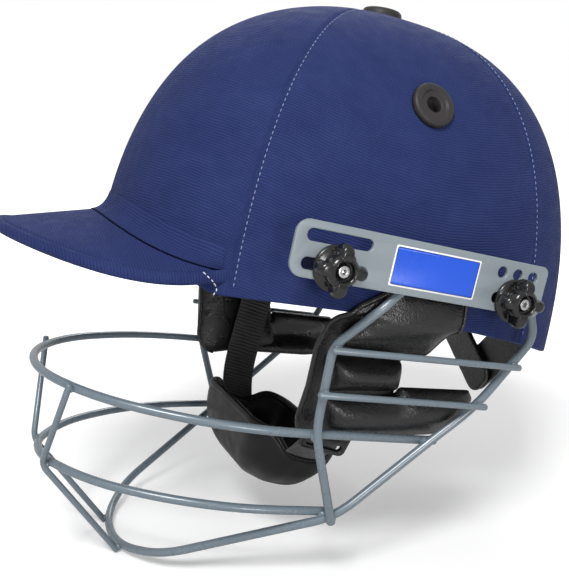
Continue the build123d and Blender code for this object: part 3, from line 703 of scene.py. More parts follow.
def cover_panel(name, start, end):
    """One cloth panel between two seams, from the crown to inside the rim."""
    middle = (start + end) / 2
    tangent = Vector((math.cos(middle), 0, 0)) + DOME_BACK * math.sin(middle)
    base = rim_theta(middle)
    rim_angles = panel_angles(start, end, plan_radius(middle))
    rows = [[rim_place(angle, out, down) for angle, _ in rim_angles] for out, down in RIM_WRAP]
    for row in range(ROWS + 1):
        share = row / ROWS
        radius = plan_radius(middle) * level_share(base + share * (math.pi / 2 - base))
        line = []
        for angle, distance in panel_angles(start, end, radius):
            low = rim_theta(angle)
            theta = low + share * (math.pi / 2 - low)
            dip = -SEAM_DIP * math.exp(-((distance / SEAM_WIDTH) ** 2))
            puff = PUFF * noise.noise(dome_point(angle, theta) * PUFF_SCALE)
            line.append(dome_point(angle, theta, dip + puff))
        rows.append(line)
    return skin(name, rows, cloth_uvs(rows, tangent))


panels = {}
for name, start, end in zip(("cover_front", "cover_left", "cover_rear", "cover_right"), SEAMS, SEAMS[1:]):
    panels[name] = cover_panel(name + "_cloth", start, end)
    open_vents(panels[name])
    dress(panels[name], navy_cloth, HELMET, "navy_cloth", name)
print("cover panels:", len(panels))

# %% Hem tape inside the rim
HEM = ((-4.0, 0.2), (-4.7, 0.1), (-4.9, -0.8), (-4.9, -7.8), (-4.7, -8.8), (-4.0, -9.2))  # out and down
HEM_MM_PER_DEGREE = 1.9
hem_degrees = range(0, 360, 2)
hem_rows = [[rim_place(math.radians(degree), out, down) for degree in hem_degrees] for out, down in HEM]
hem_uvs = [(degree * HEM_MM_PER_DEGREE, down) for _, down in HEM for degree in hem_degrees]
hem = skin("rim_hem_tape", hem_rows, hem_uvs, close_columns=True)
dress(hem, navy_cloth, HELMET, "binding_tape", "rim_binding")
print("hem points:", len(hem.data.vertices))

# %% [markdown]
# ## Peak
# On the real helmet the peak is a stiff board in the same cloth, with a stuffed bead round its edge. It
# could be a flat shape that is bent, but here it is a ruled arch cut to a rounded outline. Each row of the
# skin starts on the dome, runs out to the outline, turns round the bead and comes back underneath.

# %% The arch and its outline
BOARD_MIDDLE = 1.3
HALF_THICK = 2.1
PEAK_ROOT, PEAK_RUN = 84, 127
PEAK_RISE, PEAK_FALL = 44.5, 4.5
PEAK_ARCH, PEAK_ARCH_FALL = 152, 12
PEAK_CORNER_X, PEAK_CORNER_Y = 77.0, -87.0
PEAK_OUTLINE = ((PEAK_CORNER_X, PEAK_CORNER_Y), (80.8, -130.0), (38.0, -171.8), (0.0, -171.8))
CORNER_STEPS, OUTLINE_STEPS = 6, 64
SEARCH_STEP = 0.25
AIM_SHARE, AIM_Y = 0.55, -40


def peak_place(x, y, rise):
    """A place on the peak, rise above the middle of its thickness."""
    share = (-y - PEAK_ROOT) / PEAK_RUN
    height, arch = PEAK_RISE - PEAK_FALL * share, PEAK_ARCH - PEAK_ARCH_FALL * share
    top = height - arch + math.sqrt(arch * arch - x * x)
    return Vector((x, y, top - BOARD_MIDDLE + rise))


def peak_outline():
    """The outline from the dome on the wearer's left, round the nose, to the dome on the right."""
    corner_y = PEAK_CORNER_Y
    while not inside_dome(peak_place(PEAK_CORNER_X, corner_y, 0)):
        corner_y += SEARCH_STEP
    run = PEAK_CORNER_Y - corner_y
    half = [(PEAK_CORNER_X, corner_y + run * step / CORNER_STEPS) for step in range(CORNER_STEPS)]
    half += [bezier(PEAK_OUTLINE, step / OUTLINE_STEPS) for step in range(OUTLINE_STEPS + 1)]
    return half + [(-x, y) for x, y in reversed(half[:-1])]


def edge_and_inward(x, y):
    """A point of the outline and the direction in which its row runs to the dome."""
    edge = Vector((x, y))
    return edge, (Vector((AIM_SHARE * x, AIM_Y)) - edge).normalized()


# %% Peak cover
BEAD_RADIUS = 2.7
BEAD_START, BEAD_SWEEP, BEAD_STEPS = 32, 296, 12
BEAD_VALLEY = ((7.4, 0.0), (6.3, 0.05), (5.5, 0.45))  # distance from the edge, sink
ROW_STEPS = 12
LONGEST_ROW, SHORT_ROW = 120, 9
ROW_OVERLAP = 1.2


def peak_row(x, y):
    """Places from the dome out to one point of the outline and back underneath."""
    edge, inward = edge_and_inward(x, y)
    length = 0.0
    while length < LONGEST_ROW and not inside_dome(peak_place(*(edge + inward * length), 0)):
        length += SEARCH_STEP
    length += ROW_OVERLAP
    squeeze = min(1.0, length / SHORT_ROW)
    flat_end = BEAD_VALLEY[0][0] * squeeze
    upper = [(length + (flat_end - length) * step / ROW_STEPS, HALF_THICK) for step in range(ROW_STEPS)]
    upper += [(away * squeeze, HALF_THICK - sink) for away, sink in BEAD_VALLEY]
    bead = []
    for step in range(BEAD_STEPS + 1):
        turn = math.radians(BEAD_START + BEAD_SWEEP * step / BEAD_STEPS)
        away = (BEAD_RADIUS + BEAD_RADIUS * math.cos(turn)) * squeeze
        bead.append((away, BEAD_RADIUS * math.sin(turn)))
    section = upper + bead + [(away, -rise) for away, rise in reversed(upper)]
    return [peak_place(*(edge + inward * away), rise) for away, rise in section]


peak_rows = [peak_row(x, y) for x, y in peak_outline()]
peak = skin("peak_cover_cloth", peak_rows, [(place.x, place.y) for row in peak_rows for place in row])
dress(outward(peak), navy_cloth, HELMET, "navy_cloth", "peak_cover", "peak_board")
print("peak rows:", len(peak_rows))

# %% The fold where the cover meets the peak
FOLD_HALF_SPAN, FOLD_HALF_COUNT = 75.0, 66
FOLD_END, FOLD_WIDTH = 75.5, 6.5
FOLD_STEPS, FOLD_ROW_LENGTH = 9, 1.4
FOLD_TOP_RISE, FOLD_SKIN, FOLD_BEND = 0.05, 0.3, 0.9
FOLD_FOOT_RISE, FOLD_TUCK_RISE, CREASE_RISE = 0.45, -0.4, -0.05
TUCK_REACH, CREASE_REACH = 0.5, 0.25
NOSE_SEARCH_Y, FINE_STEP = -172.0, 0.2


def fold_column(x):
    """The fold's places from the dome down to the peak at one x, and the crease in front of them."""
    y = NOSE_SEARCH_Y
    while not inside_dome(peak_place(x, y, HALF_THICK)):
        y += FINE_STEP
    root = peak_place(x, y, HALF_THICK)
    local = root - DOME_FOOT
    angle = math.atan2(local.x, -local.dot(DOME_BACK))
    theta = math.asin(min(1.0, (local.dot(DOME_UP) / DOME_HEIGHT) ** (DOME_POWER / 2)))
    ahead = Vector(dome_normal(angle, theta).xy).normalized()
    width = FOLD_WIDTH * (1 - (abs(x) / FOLD_END) ** 5)
    reach = width + TUCK_REACH
    foot, tuck, crease = (
        peak_place(x + ahead.x * away, y + ahead.y * away, HALF_THICK + rise)
        for away, rise in ((width, FOLD_FOOT_RISE), (reach, FOLD_TUCK_RISE), (reach + CREASE_REACH, CREASE_RISE))
    )
    top = dome_point(angle, theta + FOLD_TOP_RISE, FOLD_SKIN)
    bend = root + Vector((ahead.x, ahead.y, 1)) * FOLD_BEND
    column = []
    for step in range(FOLD_STEPS + 1):
        share = step / FOLD_STEPS
        column.append(top * (1 - share) ** 2 + bend * 2 * share * (1 - share) + foot * share**2)
    return column + [tuck], crease


fold_columns, crease_path = [], []
for step in range(-FOLD_HALF_COUNT, FOLD_HALF_COUNT + 1):
    column, crease = fold_column(FOLD_HALF_SPAN * step / FOLD_HALF_COUNT)
    fold_columns.append(column)
    crease_path.append(crease)
fold_rows = list(zip(*fold_columns))
fold_uvs = [(place.x, FOLD_ROW_LENGTH * row) for row, line in enumerate(fold_rows) for place in line]
fold = skin("peak_root_fold", fold_rows, fold_uvs)
if fold.data.polygons[len(fold.data.polygons) // 2].normal.z < 0:
    fold.data.flip_normals()
dress(fold, navy_cloth, HELMET, "navy_cloth")
# This tube is painted shade: a near-black line lying in the crease in front of the fold.
dress(tube("peak_root_crease_shade", crease_path, 0.5, 8), seam_shadow, HELMET, "navy_cloth")
print("fold points:", len(fold.data.vertices))

# %% [markdown]
# ## Stitches
# The panels are sewn with a pale thread, and a white one holds the peak's corner. A bump texture could hint
# at the stitches, but real beads of thread catch the light. One Geometry Nodes tree lays them along curves.
# Its named inputs are the pitch, the length and the thickness of a stitch and its material. The rows of
# one thread are curves of one object.

# %% The stitch tree
stitch_tree = bpy.data.node_groups.new("stitch row", "GeometryNodeTree")
stitch_sockets = {}
stitch_tree.interface.new_socket("Geometry", in_out="INPUT", socket_type="NodeSocketGeometry")
for label in ("Pitch", "Stitch Length", "Thickness", "Material"):
    kind = "NodeSocketMaterial" if label == "Material" else "NodeSocketFloat"
    stitch_sockets[label] = stitch_tree.interface.new_socket(label, in_out="INPUT", socket_type=kind).identifier
stitch_tree.interface.new_socket("Geometry", in_out="OUTPUT", socket_type="NodeSocketGeometry")
stitch_in, stitch_out, resample, bean, aim, tangent, size, spread, realize, paint = (
    stitch_tree.nodes.new(kind)
    for kind in (
        "NodeGroupInput",
        "NodeGroupOutput",
        "GeometryNodeResampleCurve",
        "GeometryNodeMeshUVSphere",
        "FunctionNodeAlignRotationToVector",
        "GeometryNodeInputTangent",
        "ShaderNodeCombineXYZ",
        "GeometryNodeInstanceOnPoints",
        "GeometryNodeRealizeInstances",
        "GeometryNodeSetMaterial",
    )
)
resample.mode = "LENGTH"
aim.axis = "Z"
for label, value in (("Segments", 8), ("Rings", 6), ("Radius", 1.0)):
    bean.inputs[label].default_value = value
for source, output, target, socket in (
    (stitch_in, "Geometry", resample, "Curve"),
    (stitch_in, "Pitch", resample, "Length"),
    (resample, "Curve", spread, "Points"),
    (bean, "Mesh", spread, "Instance"),
    (tangent, "Tangent", aim, "Vector"),
    (aim, "Rotation", spread, "Rotation"),
    (stitch_in, "Thickness", size, "X"),
    (stitch_in, "Thickness", size, "Y"),
    (stitch_in, "Stitch Length", size, "Z"),
    (size, "Vector", spread, "Scale"),
    (spread, "Instances", realize, "Geometry"),
    (realize, "Geometry", paint, "Geometry"),
    (stitch_in, "Material", paint, "Material"),
    (paint, "Geometry", stitch_out, "Geometry"),
):
    stitch_tree.links.new(source.outputs[output], target.inputs[socket])
print("stitch tree nodes:", len(stitch_tree.nodes))


def stitches(name, lines, pitch, length, thickness, material):
    """Stitches along some lines, in millimetres, as one plain mesh on the helmet."""
    curve = bpy.data.curves.new(name, "CURVE")
    curve.dimensions = "3D"
    for line in lines:
        spline = curve.splines.new("POLY")
        spline.points.add(len(line) - 1)
        for point, place in zip(spline.points, line):
            point.co = (*(Vector(place) * MM), 1)
    guide = add_object(name + "_guide", curve)
    modifier = guide.modifiers.new("stitches", "NODES")
    modifier.node_group = stitch_tree
    modifier[stitch_sockets["Pitch"]] = pitch * MM
    modifier[stitch_sockets["Stitch Length"]] = length / 2 * MM
    modifier[stitch_sockets["Thickness"]] = thickness / 2 * MM
    modifier[stitch_sockets["Material"]] = material
    mesh = evaluated_mesh(guide, name)
    mesh.shade_smooth()
    bpy.data.objects.remove(guide)
    dress(add_object(name, mesh), material, HELMET, "navy_cloth")


# %% Seam stitches
SEAM_STITCH_OFFSET, SEAM_STITCH_SINK = 1.5, -0.06
SEAM_STITCH_START, SEAM_STITCH_STOP, SEAM_STITCH_STEPS = 0.02, 0.1, 89


def seam_line(seam):
    """A line beside a seam from the rim to just short of the crown vent."""
    offset = SEAM_STITCH_OFFSET if seam < math.pi else -SEAM_STITCH_OFFSET
    low = rim_theta(seam)
    line = []
    for step in range(SEAM_STITCH_STEPS + 1):
        climb = (math.pi / 2 - SEAM_STITCH_STOP - low) * step / SEAM_STITCH_STEPS
        theta = low + SEAM_STITCH_START + climb
        radius = plan_radius(seam) * level_share(theta)
        line.append(dome_point(seam + offset / max(radius, 10), theta, SEAM_STITCH_SINK))
    return line


seam_lines = [seam_line(seam) for seam in SEAMS[1:]]
stitches("seam_stitches", seam_lines, 2.7, 1.7, 0.5, thread_pale)
print("seam stitch rows:", len(seam_lines))

# %% Peak stitches
CORNER_STITCHES = (
    (70.4, -90.1, 23.6),
    (73.2, -87.7, 20.8),
    (74.9, -86.2, 17.6),
    (74.9, -86.4, 16.0),
    (73.9, -87.7, 14.1),
)
CORNER_STITCH_BENDS = (4, 4, 2)
OUTSIDE = Vector((60, -20, 8))
STITCH_PROUD = 0.25
EDGE_STITCH_INSET, EDGE_STITCH_SINK = 5.9, 0.35
cloth_trees = []
for cloth in (peak, panels["cover_left"], panels["cover_front"]):
    corners = [vertex.co for vertex in cloth.data.vertices]
    cloth_trees.append(BVHTree.FromPolygons(corners, [face.vertices for face in cloth.data.polygons]))
corner_line = []
for place in dense(fillet_path(CORNER_STITCHES, CORNER_STITCH_BENDS))[::2]:
    start = place + OUTSIDE
    hits = [tree.ray_cast(start * MM, (place - start).normalized()) for tree in cloth_trees]
    hits = [hit for hit in hits if hit[0]]
    if hits:
        spot, normal, _, _ = min(hits, key=lambda hit: hit[3])
        corner_line.append(spot / MM + normal * STITCH_PROUD)
corner_lines = [corner_line, [(-place.x, place.y, place.z) for place in corner_line]]
edge_lines = []
for rise in (HALF_THICK - EDGE_STITCH_SINK, EDGE_STITCH_SINK - HALF_THICK):
    line = []
    for x, y in peak_outline()[8:-8]:
        edge, inward = edge_and_inward(x, y)
        line.append(peak_place(*(edge + inward * EDGE_STITCH_INSET), rise))
    edge_lines.append(line)
stitches("peak_corner_stitches", corner_lines, 2.2, 1.7, 0.55, thread_white)
stitches("peak_edge_stitches", edge_lines, 3.0, 1.9, 0.4, navy_cloth)
print("peak stitch rows:", len(corner_lines) + len(edge_lines))

# %% [markdown]
# ## Vents
# Air leaves through a rubber ring on the crown and one on each side. A lathe or a Screw modifier could make
# them. Here one profile is turned by formula, so that each ring stands square to the dome.

# %% Vent rings
VENT_PROFILE = (  # radius and height, from the inside of the hole over the lip to the foot
    (3.8, -4.2),
    (3.8, 1.3),
    (4.0, 1.62),
    (4.4, 1.72),
    (6.1, 1.72),
    (6.5, 1.85),
    (6.65, 2.1),
    (6.85, 2.42),
    (7.3, 2.58),
    (9.3, 2.55),
    (10.2, 2.2),
    (10.65, 1.5),
    (10.75, 0.7),
    (10.75, -0.9),
    (6.0, -0.9),
    (6.0, -4.2),
)
VENT_SIDES = 64
CROWN_VENT_TALLER = 2.1


def turned(name, profile, middle, axis):
    """A closed profile of radius and height, turned about an axis."""
    side_x = axis.orthogonal().normalized()
    side_y = axis.cross(side_x)
    rows = []
    for radius, height in profile:
        turns = [2 * math.pi * step / VENT_SIDES for step in range(VENT_SIDES)]
        around = [side_x * math.cos(turn) + side_y * math.sin(turn) for turn in turns]
        rows.append([middle + axis * height + way * radius for way in around])
    return outward(skin(name, rows, close_columns=True, close_rows=True))


for vent_name, place, axis in vents:
    tall = CROWN_VENT_TALLER if vent_name == "crown" else 1.0
    profile = [(radius, height * tall if height > 0 else height) for radius, height in VENT_PROFILE]
    ring = turned(f"vent_ring_{vent_name}", profile, place, axis)
    dress(ring, vent_rubber, HELMET, "eyelet_rubber", "vent_eyelets")
print("vents:", len(vents))

# %% The hard shell keeps its CAD form
shell = cad_nodes["shell"]
shell.data.materials.clear()
shell.data.materials.append(shell_plastic)
print("shell triangles:", len(shell.data.polygons))

# %% [markdown]
# ## Side plates, labels and bolts
# The plates are pressed from sheet steel, with slots and holes for setting the guard. Boolean cuts could
# make the holes, but a filled curve takes all outlines at once and gives every edge a small even round. The
# labels stay bare: a white border, a dark keyline and a blue field.

# %% Flat pieces with softened edges
SHARP_DEGREES = 35
HOLE_SIDES = 36


def rectangle(length, height, radii, middle=0.0):
    """A rounded rectangle; radii start at its front lower corner and go round."""
    low, high = middle - length / 2, middle + length / 2
    corners = [(low, -height / 2, 0), (high, -height / 2, 0), (high, height / 2, 0), (low, height / 2, 0)]
    return [(p.x, p.y) for p in fillet_path(corners, radii, closed=True, turn_step=7)]


def slot_loop(start, end, across, radius):
    """A slot, or a round hole where start and end are the same."""
    loop = []
    for step in range(HOLE_SIDES):
        turn = 2 * math.pi * step / HOLE_SIDES
        middle = end if math.cos(turn) > 0 else start
        loop.append((middle + radius * math.cos(turn), across + radius * math.sin(turn)))
    return loop


def smooth_by_angle(obj):
    """Smooth shading, with the sharper edges kept."""
    obj.data.shade_smooth()
    work = bmesh.new()
    work.from_mesh(obj.data)
    for edge in work.edges:
        edge.smooth = len(edge.link_faces) == 2 and edge.calc_face_angle() < math.radians(SHARP_DEGREES)
    work.to_mesh(obj.data)
    work.free()
    return obj


def slab(name, loops, thickness, edge, place):
    """A flat piece from closed outlines, the first outside and the rest holes."""
    curve = bpy.data.curves.new(name, "CURVE")
    curve.dimensions = "2D"
    curve.fill_mode = "BOTH"
    curve.extrude = (thickness / 2 - edge) * MM
    curve.bevel_depth = edge * MM
    curve.bevel_resolution = 2
    curve.offset = -edge * MM
    for index, loop in enumerate(loops):
        points = loop if index == 0 else loop[::-1]
        spline = curve.splines.new("POLY")
        spline.use_cyclic_u = True
        spline.points.add(len(points) - 1)
        for point, (u, v) in zip(spline.points, points):
            point.co = (u * MM, v * MM, 0, 1)
    guide = add_object(name + "_outline", curve)
    mesh = evaluated_mesh(guide, name)
    bpy.data.objects.remove(guide)
    mesh.transform(place)
    return smooth_by_angle(outward(add_object(name, mesh)))


# %% Side plates and labels
TILT = math.radians(13.6)
PLATE_ALONG = Vector((0, math.cos(TILT), -math.sin(TILT)))
PLATE_UP = Vector((0, math.sin(TILT), math.cos(TILT)))
PLATE_X, PLATE_Y, PLATE_Z = 105.0, -1.0, 24.0
PLATE_THICK, PLATE_EDGE = 2.0, 0.35
PLATE_SIZE, PLATE_CORNERS = (130, 24), (6.0, 3.5, 3.5, 6.0)
SLOT_FRONT, SLOT_BACK = -60, -29
HOLES_ALONG = (39.3, 48.0, 56.7)
HOLE_ROW, HOLE_RADIUS = 5.9, 2.65
LABEL_MIDDLE, LABEL_CORNER = 4.2, 0.8
LABEL_PARTS = (  # length, height, how proud it lies on the plate
    ("border", 44.5, 17.8, 0.10, label_white),
    ("line", 43.1, 16.4, 0.16, label_line),
    ("field", 42.5, 15.8, 0.22, label_blue),
)


def plate_matrix(side, x):
    """From plate coordinates to the shared frame, for a slab whose middle lies at x."""
    matrix = Matrix((PLATE_ALONG, PLATE_UP, Vector((side, 0, 0)))).transposed().to_4x4()
    matrix.translation = Vector((side * x, PLATE_Y, PLATE_Z)) * MM
    return matrix


plate_loops = [rectangle(*PLATE_SIZE, PLATE_CORNERS)]
for across in (HOLE_ROW, -HOLE_ROW):
    plate_loops.append(slot_loop(SLOT_FRONT + HOLE_RADIUS, SLOT_BACK - HOLE_RADIUS, across, HOLE_RADIUS))
    plate_loops += [slot_loop(u, u, across, HOLE_RADIUS) for u in HOLES_ALONG]
for side_name, side in SIDES.items():
    place = plate_matrix(side, PLATE_X + PLATE_THICK / 2)
    plate = slab(f"side_plate_{side_name}_painted", plate_loops, PLATE_THICK, PLATE_EDGE, place)
    dress(plate, plate_paint, HELMET, "plate_paint", f"side_plate_{side_name}")
    for part_name, length, height, proud, material in LABEL_PARTS:
        loops = [rectangle(length, height, (LABEL_CORNER,) * 4, LABEL_MIDDLE)]
        place = plate_matrix(side, PLATE_X + PLATE_THICK + proud / 2)
        part = slab(f"label_{side_name}_{part_name}", loops, proud + 0.02, 0.01, place)
        dress(part, material, HELMET, "label_film", f"label_{side_name}")
print("outlines in a plate:", len(plate_loops))

# %% Bolts, spacers and rivets
def softened_copy(name, node, edge):
    """A node copy with small rounds on its sharp edges."""
    obj = node_copy(name, node)
    work = bmesh.new()
    work.from_mesh(obj.data)
    bmesh.ops.dissolve_limit(work, angle_limit=0.02, verts=work.verts, edges=work.edges)
    work.to_mesh(obj.data)
    work.free()
    bevel = obj.modifiers.new("edges", "BEVEL")
    bevel.width = edge * MM
    bevel.segments = 2
    bevel.limit_method = "ANGLE"
    bevel.angle_limit = math.radians(40)
    apply_modifiers(obj)
    return smooth_by_angle(obj)


for node, finish_name, edge, material, slot in (
    ("plate_bolts", "steel", 0.2, bolt_steel, "bolt_steel"),
    ("plate_spacers", "moulded", 0.3, knob_plastic, "knob_black"),
    ("strap_rivets", "steel", 0.25, bolt_steel, "bolt_steel"),
):
    part = softened_copy(f"{node}_{finish_name}", node, edge)
    dress(part, material, HELMET, slot, node)
    print(node, "faces:", len(part.data.polygons))

# %% [markdown]
# ## Star knobs
# The knobs clamp the guard and are turned by hand. A star could be extruded and bevelled, but its lobes
# would keep flat tops. Here a knob is a stack of rings, each blended from the four-lobed star to a circle,
# so one skin makes the base disc, the lobes with their soft edges, and the recess for the bolt's end.

# %% Knobs
KNOB_SEAT = 107.1
KNOB_SIDES = 144
KNOB_RINGS = (  # share of circle, its radius or the star's sink, height
    (1.0, 2.7, 0.0),
    (1.0, 9.3, 0.0),
    (1.0, 9.9, 0.45),
    (1.0, 10.0, 1.0),
    (1.0, 9.9, 1.6),
    (1.0, 9.2, 2.1),
    (1.0, 7.4, 2.3),
    (0.5, 7.2, 2.7),
    (0.0, 1.6, 3.1),
    (0.0, 0.5, 3.7),
    (0.0, 0.0, 4.8),
    (0.0, 0.0, 8.4),
    (0.0, 0.25, 9.5),
    (0.0, 0.9, 10.4),
    (0.0, 1.9, 10.9),
    (0.3, 4.6, 11.0),
    (1.0, 5.0, 11.0),
    (1.0, 4.55, 10.85),
    (1.0, 4.3, 10.4),
    (1.0, 4.3, 8.5),
    (1.0, 4.1, 8.2),
    (1.0, 2.7, 8.2),
)
STAR_CORE, STAR_BLEND, STAR_TURN = 7.0, 26, 12
LOBE_REACH, LOBE_RADIUS = 8.3, 2.9
BLENDED_STAR_SHARE = 0.72
KNOB_PLACES = {"front": (-45.0, -HOLE_ROW), "rear": (48.0, -HOLE_ROW)}


def star_radius(turn):
    """The knob's outline in one direction, with soft valleys between its lobes."""
    total = STAR_CORE**STAR_BLEND
    for lobe in range(4):
        gap = turn - math.radians(90 * lobe - STAR_TURN)
        across = LOBE_REACH * math.sin(gap)
        if math.cos(gap) > 0 and abs(across) < LOBE_RADIUS:
            reach = LOBE_REACH * math.cos(gap) + math.sqrt(LOBE_RADIUS**2 - across**2)
            total += reach**STAR_BLEND
    return total ** (1 / STAR_BLEND)


def knob(name, side, y, z):
    """A four-lobed hand knob on one side plate."""
    rows = []
    for circle_share, size, height in KNOB_RINGS:
        x = side * (KNOB_SEAT + height)
        row = []
        for step in range(KNOB_SIDES):
            turn = 2 * math.pi * step / KNOB_SIDES
            lobes = star_radius(turn)
            star = lobes - size if circle_share == 0 else lobes * BLENDED_STAR_SHARE
            radius = (1 - circle_share) * star + circle_share * size
            row.append((x, y + radius * math.cos(turn), z + radius * math.sin(turn)))
        rows.append(row)
    return outward(skin(name, rows, close_columns=True, close_rows=True))


for place_name, (along, up) in KNOB_PLACES.items():
    spot = PLATE_ALONG * along + PLATE_UP * up
    for side_name, side in SIDES.items():
        node = f"knob_{place_name}_{side_name}"
        piece = knob(node + "_star", side, PLATE_Y + spot.y, PLATE_Z + spot.z)
        dress(piece, knob_plastic, node, "knob_black", node)
print("knobs:", 2 * len(KNOB_PLACES))

# %% [markdown]
# ## Wire guard
# The guard is bent from round steel wire and welded. Curves with a round bevel could make the bars; here
# each bar is a tube along straight runs and bends, so its route is known point by point. A small weld bead
# sits where two wires touch, at the closest points of their centre lines.

# %% Wires
BAR_RADIUS, CROSS_RADIUS, STRUT_RADIUS = 2.1, 1.6, 1.55
UPPER = ((85.5, 20, -65.8), (85.5, -82.11, -44.28), (54.72, -135.49, -33.03), (17.53, -157, -28.5))
MIDDLE = ((79.5, -35, -95.3), (73.78, -92.75, -85.54), (39.91, -141.09, -77.36), (10.73, -158, -74.5))
LOWER = (
    (102.9, 57, 8),
    (102.9, 61.5, -14),
    (93, 38, -48),
    (89.82, 14.7, -63.7),
    (85.73, -33.5, -95.63),
    (43.4, -107.7, -121.76),
    (16, -124, -127.5),
)
SIDE_BAR = ((102.9, -4, 20.5), (102.9, -20, 8.5), (97, -41, -8), (89.55, -45.5, -50), (87.89, -36.5, -97))
FRONT_STRUT = ((43.1, -146.3, -28.9), (17.5, -158.67, -75.8), (17, -124.45, -129.3))
UPPER_CROSS = ((100.68, -42.5, -8.6), (102.88, 54.5, -27.8))
LOWER_CROSS = ((96.79, -47, -29.5), (97.25, 40.5, -47.5))
wires = {}
for node, half, bends in (
    ("guard_upper_loop", UPPER, (130, 88, 63)),
    ("guard_middle_loop", MIDDLE, (148, 86, 36)),
    ("guard_lower_bar", LOWER, (14, 60, 90, 45, 52, 52)),
):
    whole = list(half) + [(-x, y, z) for x, y, z in reversed(half)]
    wires[node] = (whole, bends + bends[::-1], BAR_RADIUS)
for side_name, side in SIDES.items():
    for bar_name, corners, bends, radius in (
        ("side_bar", SIDE_BAR, (20, 14, 60), BAR_RADIUS),
        ("upper_cross_bar", UPPER_CROSS, (), CROSS_RADIUS),
        ("lower_cross_bar", LOWER_CROSS, (), CROSS_RADIUS),
        ("front_strut", FRONT_STRUT, (10,), STRUT_RADIUS),
    ):
        wires[f"{bar_name}_{side_name}"] = ([(side * x, y, z) for x, y, z in corners], bends, radius)
wire_paths = {}
for node, (corners, bends, radius) in wires.items():
    path = fillet_path(corners, bends, turn_step=3.0)
    wire_paths[node] = dense(path)
    dress(tube(node + "_wire", path, radius), guard_paint, HELMET, "guard_paint", node)
print("wires:", len(wires))

# %% Weld beads
WELD_GAP = 8
BEAD_SHARE = 1.28
END_BEAD_RADIUS, END_BEAD_OUT, END_BEAD_DROPS = 2.3, 1.3, (1.5, 6.0)
BEAD_UNEVEN, BEAD_NOISE_SCALE = 0.22, 700


def closest_pair(first, second, side):
    """The gap and the two closest places of two wires on one side of the helmet."""
    tree = KDTree(len(wire_paths[second]))
    for index, place in enumerate(wire_paths[second]):
        tree.insert(place, index)
    tree.balance()
    best = None
    for place in wire_paths[first]:
        if place.x * side < 0:
            continue
        _, other, gap = tree.find(place)
        if best is None or gap < best[0]:
            best = (gap, place, wire_paths[second][other])
    return best


beads = []
for side_name, side in SIDES.items():
    bar, strut = f"side_bar_{side_name}", f"front_strut_{side_name}"
    pairs = [
        ("guard_upper_loop", "guard_lower_bar"),
        ("guard_middle_loop", "guard_lower_bar"),
        ("guard_upper_loop", bar),
        ("guard_middle_loop", bar),
        ("guard_lower_bar", bar),
    ]
    for cross in (f"upper_cross_bar_{side_name}", f"lower_cross_bar_{side_name}"):
        pairs += [(cross, bar), (cross, "guard_lower_bar")]
    pairs += [(strut, loop) for loop in ("guard_upper_loop", "guard_middle_loop", "guard_lower_bar")]
    for first, second in pairs:
        gap, one, two = closest_pair(first, second, side)
        if gap < WELD_GAP:
            beads.append(((one + two) / 2, min(wires[first][2], wires[second][2]) * BEAD_SHARE))
    for (x, y, z), slope in ((SIDE_BAR[0], 0.55), (LOWER[0], 0.0)):
        for drop in END_BEAD_DROPS:
            place = Vector((side * (x + END_BEAD_OUT), y - slope * drop, z - drop * 0.6))
            beads.append((place, END_BEAD_RADIUS))
bead_mesh = bmesh.new()
for place, size in beads:
    spot = Matrix.Translation(place * MM) @ Matrix.Diagonal((size * MM,) * 3 + (1,))
    made = bmesh.ops.create_icosphere(bead_mesh, subdivisions=3, radius=1.0, matrix=spot)
    for vert in made["verts"]:
        away = vert.co - place * MM
        vert.co = place * MM + away * (1 + BEAD_UNEVEN * noise.noise(vert.co * BEAD_NOISE_SCALE))
mesh = bpy.data.meshes.new("guard_weld_beads")
bead_mesh.to_mesh(mesh)
bead_mesh.free()
mesh.shade_smooth()
dress(add_object("guard_weld_beads", mesh), guard_paint, HELMET, "guard_paint")
print("weld beads:", len(beads))

# %% [markdown]
# ## Padding
# The liner's foam pads start from their CAD solids, which are remeshed evenly and smoothed into soft
# crowns. An ear pad is three stuffed cushions on a thin backing. A cloth simulation could inflate them, but
# it would have to be held back at every bar of the guard. So each cushion is a skin of two crowned faces
# that meet in a seam, pressed flat where a bar lies on it. A piping runs along the backing's front edge.

# %% Liner pads
for node in ("front_pad", "rear_pad", "side_pad_left", "side_pad_right", "crown_pad_left", "crown_pad_right"):
    pad = soften(node_copy(node + "_foam", node), voxel=1.7, rounds=8)
    dress(pad, liner_foam, HELMET, "liner_foam", node)
    print(node, "faces:", len(pad.data.polygons))

# %% What the ear pads lie against
PAD_SLOPE = math.tan(math.radians(14.7))
PAD_X, PAD_Z = 98.8, 13
SHELL_INSIDE, SHELL_OUTSIDE = 60.0, 110.0
BAR_CLEARANCE, BAR_SHADOW, SWELL_SLOPE = 0.3, 0.7, 0.8


def pad_plane_x(z):
    """How far out the ear pad's flat lies at a height."""
    return PAD_X + (z - PAD_Z) * PAD_SLOPE


def shell_x(y, z):
    """How far out the shell's outer face lies beside a place."""
    return halve(SHELL_INSIDE, SHELL_OUTSIDE, 16, lambda x: inside_dome((x, y, z)))[0]


pressing_bars = []
for node in ("side_bar_left", "upper_cross_bar_left", "lower_cross_bar_left"):
    pressing_bars += [(place, wires[node][2]) for place in wire_paths[node]]
bar_tree = KDTree(len(pressing_bars))
for index, (place, radius) in enumerate(pressing_bars):
    bar_tree.insert((0, place.y, place.z), index)
bar_tree.balance()


def bar_limit(y, z):
    """How far out a cushion may swell: it is pressed flat under a bar and free between the bars."""
    _, index, gap = bar_tree.find((0, y, z))
    place, radius = pressing_bars[index]
    return place.x - radius - BAR_CLEARANCE + max(0.0, gap - BAR_SHADOW * radius) * SWELL_SLOPE


